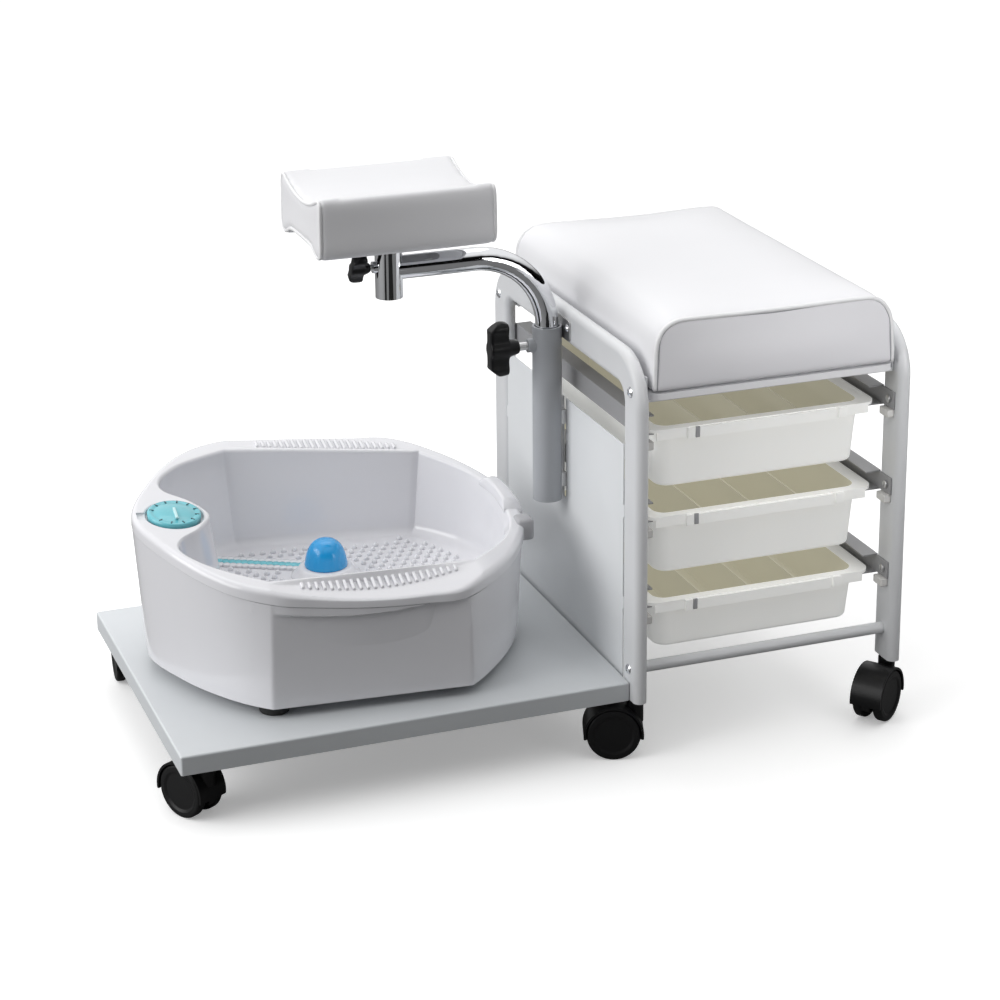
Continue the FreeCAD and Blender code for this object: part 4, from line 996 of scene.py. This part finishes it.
def build_rim_blocks():
    """Raised splash block on the blunt end of the rim, and the grey lug below it."""
    rings = []
    count = 15
    for k in range(count):
        angle = math.radians(-4 + 21 * k / (count - 1))
        radius = UPPER_R[angle_index(angle)]
        end = 0.0 if k in (0, count - 1) else (0.7 if k in (1, count - 2) else 1.0)
        section = [(-0.0165, 0.0), (-0.0155, 0.0052 * end), (-0.0135, 0.0066 * end),
                   (-0.0045, 0.0066 * end), (-0.0015, 0.0054 * end), (0.0012, 0.0022 * end),
                   (0.0018, -0.002), (0.0018, -0.014), (0.0, -0.0145), (-0.0165, -0.004)]
        ring = []
        for offset, lift in section:
            x = (radius + offset) * math.cos(angle)
            y = (radius + offset) * math.sin(angle)
            ring.append((x, y, rim_height(x, y) + lift))
        rings.append(ring)
    block = bath_object("bath_splash_block", loft_mesh(rings, "bath_splash_block"), BATH)
    bevel = block.modifiers.new("bevel", "BEVEL")
    bevel.width = 0.0006
    bevel.segments = 2
    bevel.limit_method = "ANGLE"
    apply_modifiers(block)
    lug = rounded_block(0.172, 0.1885, -0.046, -0.026, 0.176, 0.197, 0.0035)
    bath_object("bath_side_lug", lug, GREY)


build_bath()


# ---- drawers ----
def build_drawer_marks():
    """Grey painted shade mark and white painted highlight mark on the front lip of each drawer."""
    for drawer in ("drawer_top", "drawer_middle", "drawer_bottom"):
        low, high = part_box(drawer)
        # The grey block is painted shade and the white block a painted highlight, at the two ends of the
        # finger pull.
        for label, share, half, material in (("painted_shade_mark", 0.21, 0.0022, GREY),
                                             ("tab", 0.84, 0.0042, MILKY_PAINTED_HIGHLIGHT)):
            x = low.x + (high.x - low.x) * share
            block = rounded_block(x - half, x + half, low.y - 0.0007, low.y + 0.0011,
                                  high.z - 0.0105, high.z - 0.0002, 0.0005)
            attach(add_object("%s_%s" % (drawer, label), block, material), drawer)


build_drawer_marks()


# ---- floor, light and camera ----
WORLD_STRENGTH = 0.95
WORLD_AIM = (0.0, 0.36, 1.0)
WORLD_LEVELS = ((0.0, 0.0), (0.3, 0.01), (0.44, 0.7), (0.65, 1.05), (1.0, 1.1))
FLOOR_HALF = 12.0
PAPER = (0.93, 0.93, 0.93)
FLOOR_BOUNCE = 0.18
FLOOR_GLOW = 0.29
CAMERA_LENS = 96.3
CAMERA_SHIFT = (0.0, -0.12)
CAMERA_PLACE = (-0.8083, -2.2397, 1.1119)
CAMERA_TURN = (20.14, 18.32, -0.56)


def stage_floor_material():
    """White paper: seen bright by the camera, and throwing back less light on the object."""
    mat = noise_material("floor_paper", PAPER, 0.8, mottle=0.0, bump=0.0)
    nodes, links = mat.node_tree.nodes, mat.node_tree.links
    shader = nodes["Principled BSDF"]
    path = nodes.new("ShaderNodeLightPath")
    mix = nodes.new("ShaderNodeMix")
    mix.data_type = "RGBA"
    mix.inputs["A"].default_value = (FLOOR_BOUNCE, FLOOR_BOUNCE, FLOOR_BOUNCE, 1)
    mix.inputs["B"].default_value = (*PAPER, 1)
    links.new(path.outputs["Is Camera Ray"], mix.inputs["Factor"])
    links.new(mix.outputs["Result"], shader.inputs["Base Color"])
    shader.inputs["Emission Color"].default_value = (1, 1, 1, 1)
    glow = nodes.new("ShaderNodeMath")
    glow.operation = "MULTIPLY"
    glow.inputs[1].default_value = FLOOR_GLOW
    links.new(path.outputs["Is Camera Ray"], glow.inputs[0])
    links.new(glow.outputs["Value"], shader.inputs["Emission Strength"])
    return mat


def sheet_object(name, corners, material):
    mesh = bpy.data.meshes.new(name)
    mesh.from_pydata(corners, [], [(0, 1, 2, 3)])
    obj = bpy.data.objects.new(name, mesh)
    obj.data.materials.append(material)
    bpy.context.scene.collection.objects.link(obj)
    return obj


def build_floor():
    half = FLOOR_HALF
    corners = [(-half, -half, 0), (half, -half, 0), (half, half, 0), (-half, half, 0)]
    sheet_object("floor", corners, stage_floor_material())


def build_world():
    """Soft light from above and behind, dark in front; the camera sees plain white instead."""
    world = bpy.data.worlds.new("studio")
    bpy.context.scene.world = world
    world.use_nodes = True
    nodes, links = world.node_tree.nodes, world.node_tree.links
    where = nodes.new("ShaderNodeTexCoord")
    aim = nodes.new("ShaderNodeVectorMath")
    aim.operation = "DOT_PRODUCT"
    aim.inputs[1].default_value = WORLD_AIM
    ramp = nodes.new("ShaderNodeValToRGB")
    links.new(where.outputs["Generated"], aim.inputs[0])
    links.new(aim.outputs["Value"], ramp.inputs["Fac"])
    elements = ramp.color_ramp.elements
    while len(elements) < len(WORLD_LEVELS):
        elements.new(0.5)
    for element, (place, level) in zip(elements, WORLD_LEVELS):
        element.position = place
        element.color = (level, level, level, 1)
    background = nodes["Background"]
    links.new(ramp.outputs["Color"], background.inputs["Color"])
    background.inputs["Strength"].default_value = WORLD_STRENGTH
    backdrop = nodes.new("ShaderNodeBackground")
    backdrop.inputs["Color"].default_value = (1, 1, 1, 1)
    ray = nodes.new("ShaderNodeLightPath")
    seen = nodes.new("ShaderNodeMixShader")
    links.new(ray.outputs["Is Camera Ray"], seen.inputs["Fac"])
    links.new(background.outputs["Background"], seen.inputs[1])
    links.new(backdrop.outputs["Background"], seen.inputs[2])
    links.new(seen.outputs["Shader"], nodes["World Output"].inputs["Surface"])


def area_light(name, place, target, size, watts, spread=180):
    data = bpy.data.lights.new(name, "AREA")
    data.shape = "RECTANGLE"
    data.size, data.size_y = size
    data.energy = watts
    data.spread = math.radians(spread)
    light = bpy.data.objects.new(name, data)
    light.location = place
    light.rotation_mode = "QUATERNION"
    light.rotation_quaternion = (Vector(target) - Vector(place)).to_track_quat("-Z", "Y")
    light.visible_camera = False
    bpy.context.scene.collection.objects.link(light)


def black_card(name, place, width, tall):
    """Standing black card that the chrome and the gloss reflect; the camera looks through it."""
    half = width / 2
    corners = [(-half, 0, 0), (half, 0, 0), (half, 0, tall), (-half, 0, tall)]
    velvet = noise_material(name + "_velvet", (0.01, 0.01, 0.01), 0.9, bump=0.0)
    card = sheet_object(name, corners, velvet)
    card.location = (place[0], place[1], 0.002)
    card.rotation_euler = (0, 0, math.atan2(place[1], place[0]) + math.pi / 2)
    card.visible_camera = False
    card.visible_shadow = False


def build_camera():
    data = bpy.data.cameras.new("camera")
    data.sensor_width = 36.0
    data.lens = CAMERA_LENS
    data.shift_x = CAMERA_SHIFT[0]
    data.shift_y = CAMERA_SHIFT[1]
    data.clip_end = 50.0
    camera = bpy.data.objects.new("camera", data)
    camera.location = CAMERA_PLACE
    yaw, pitch, roll = (math.radians(a) for a in CAMERA_TURN)
    camera.rotation_mode = "QUATERNION"
    look = Vector((math.sin(yaw) * math.cos(pitch), math.cos(yaw) * math.cos(pitch), -math.sin(pitch)))
    right = Vector((math.cos(yaw), -math.sin(yaw), 0))
    up = right.cross(look)
    tilted_right = right * math.cos(roll) + up * math.sin(roll)
    tilted_up = up * math.cos(roll) - right * math.sin(roll)
    axes = Matrix((tilted_right, tilted_up, -look)).transposed()
    camera.rotation_quaternion = axes.to_quaternion()
    bpy.context.scene.collection.objects.link(camera)
    bpy.context.scene.camera = camera


build_floor()
build_world()
area_light("left", (-2.9, -0.1, 1.3), (0, 0, 0.25), (2.6, 2.2), 60)
area_light("right", (0.5, -0.75, 0.5), (0.31, -0.19, 0.4), (0.4, 0.4), 0.36, 60)
area_light("top", (0.2, 0.9, 2.4), (0, 0, 0.2), (1.8, 1.4), 9)
black_card("front_card", (-0.12, -0.86), 0.55, 0.8)
black_card("side_card", (-1.05, -0.95), 0.35, 1.1)
build_camera()
bpy.context.scene.view_settings.view_transform = "Standard"
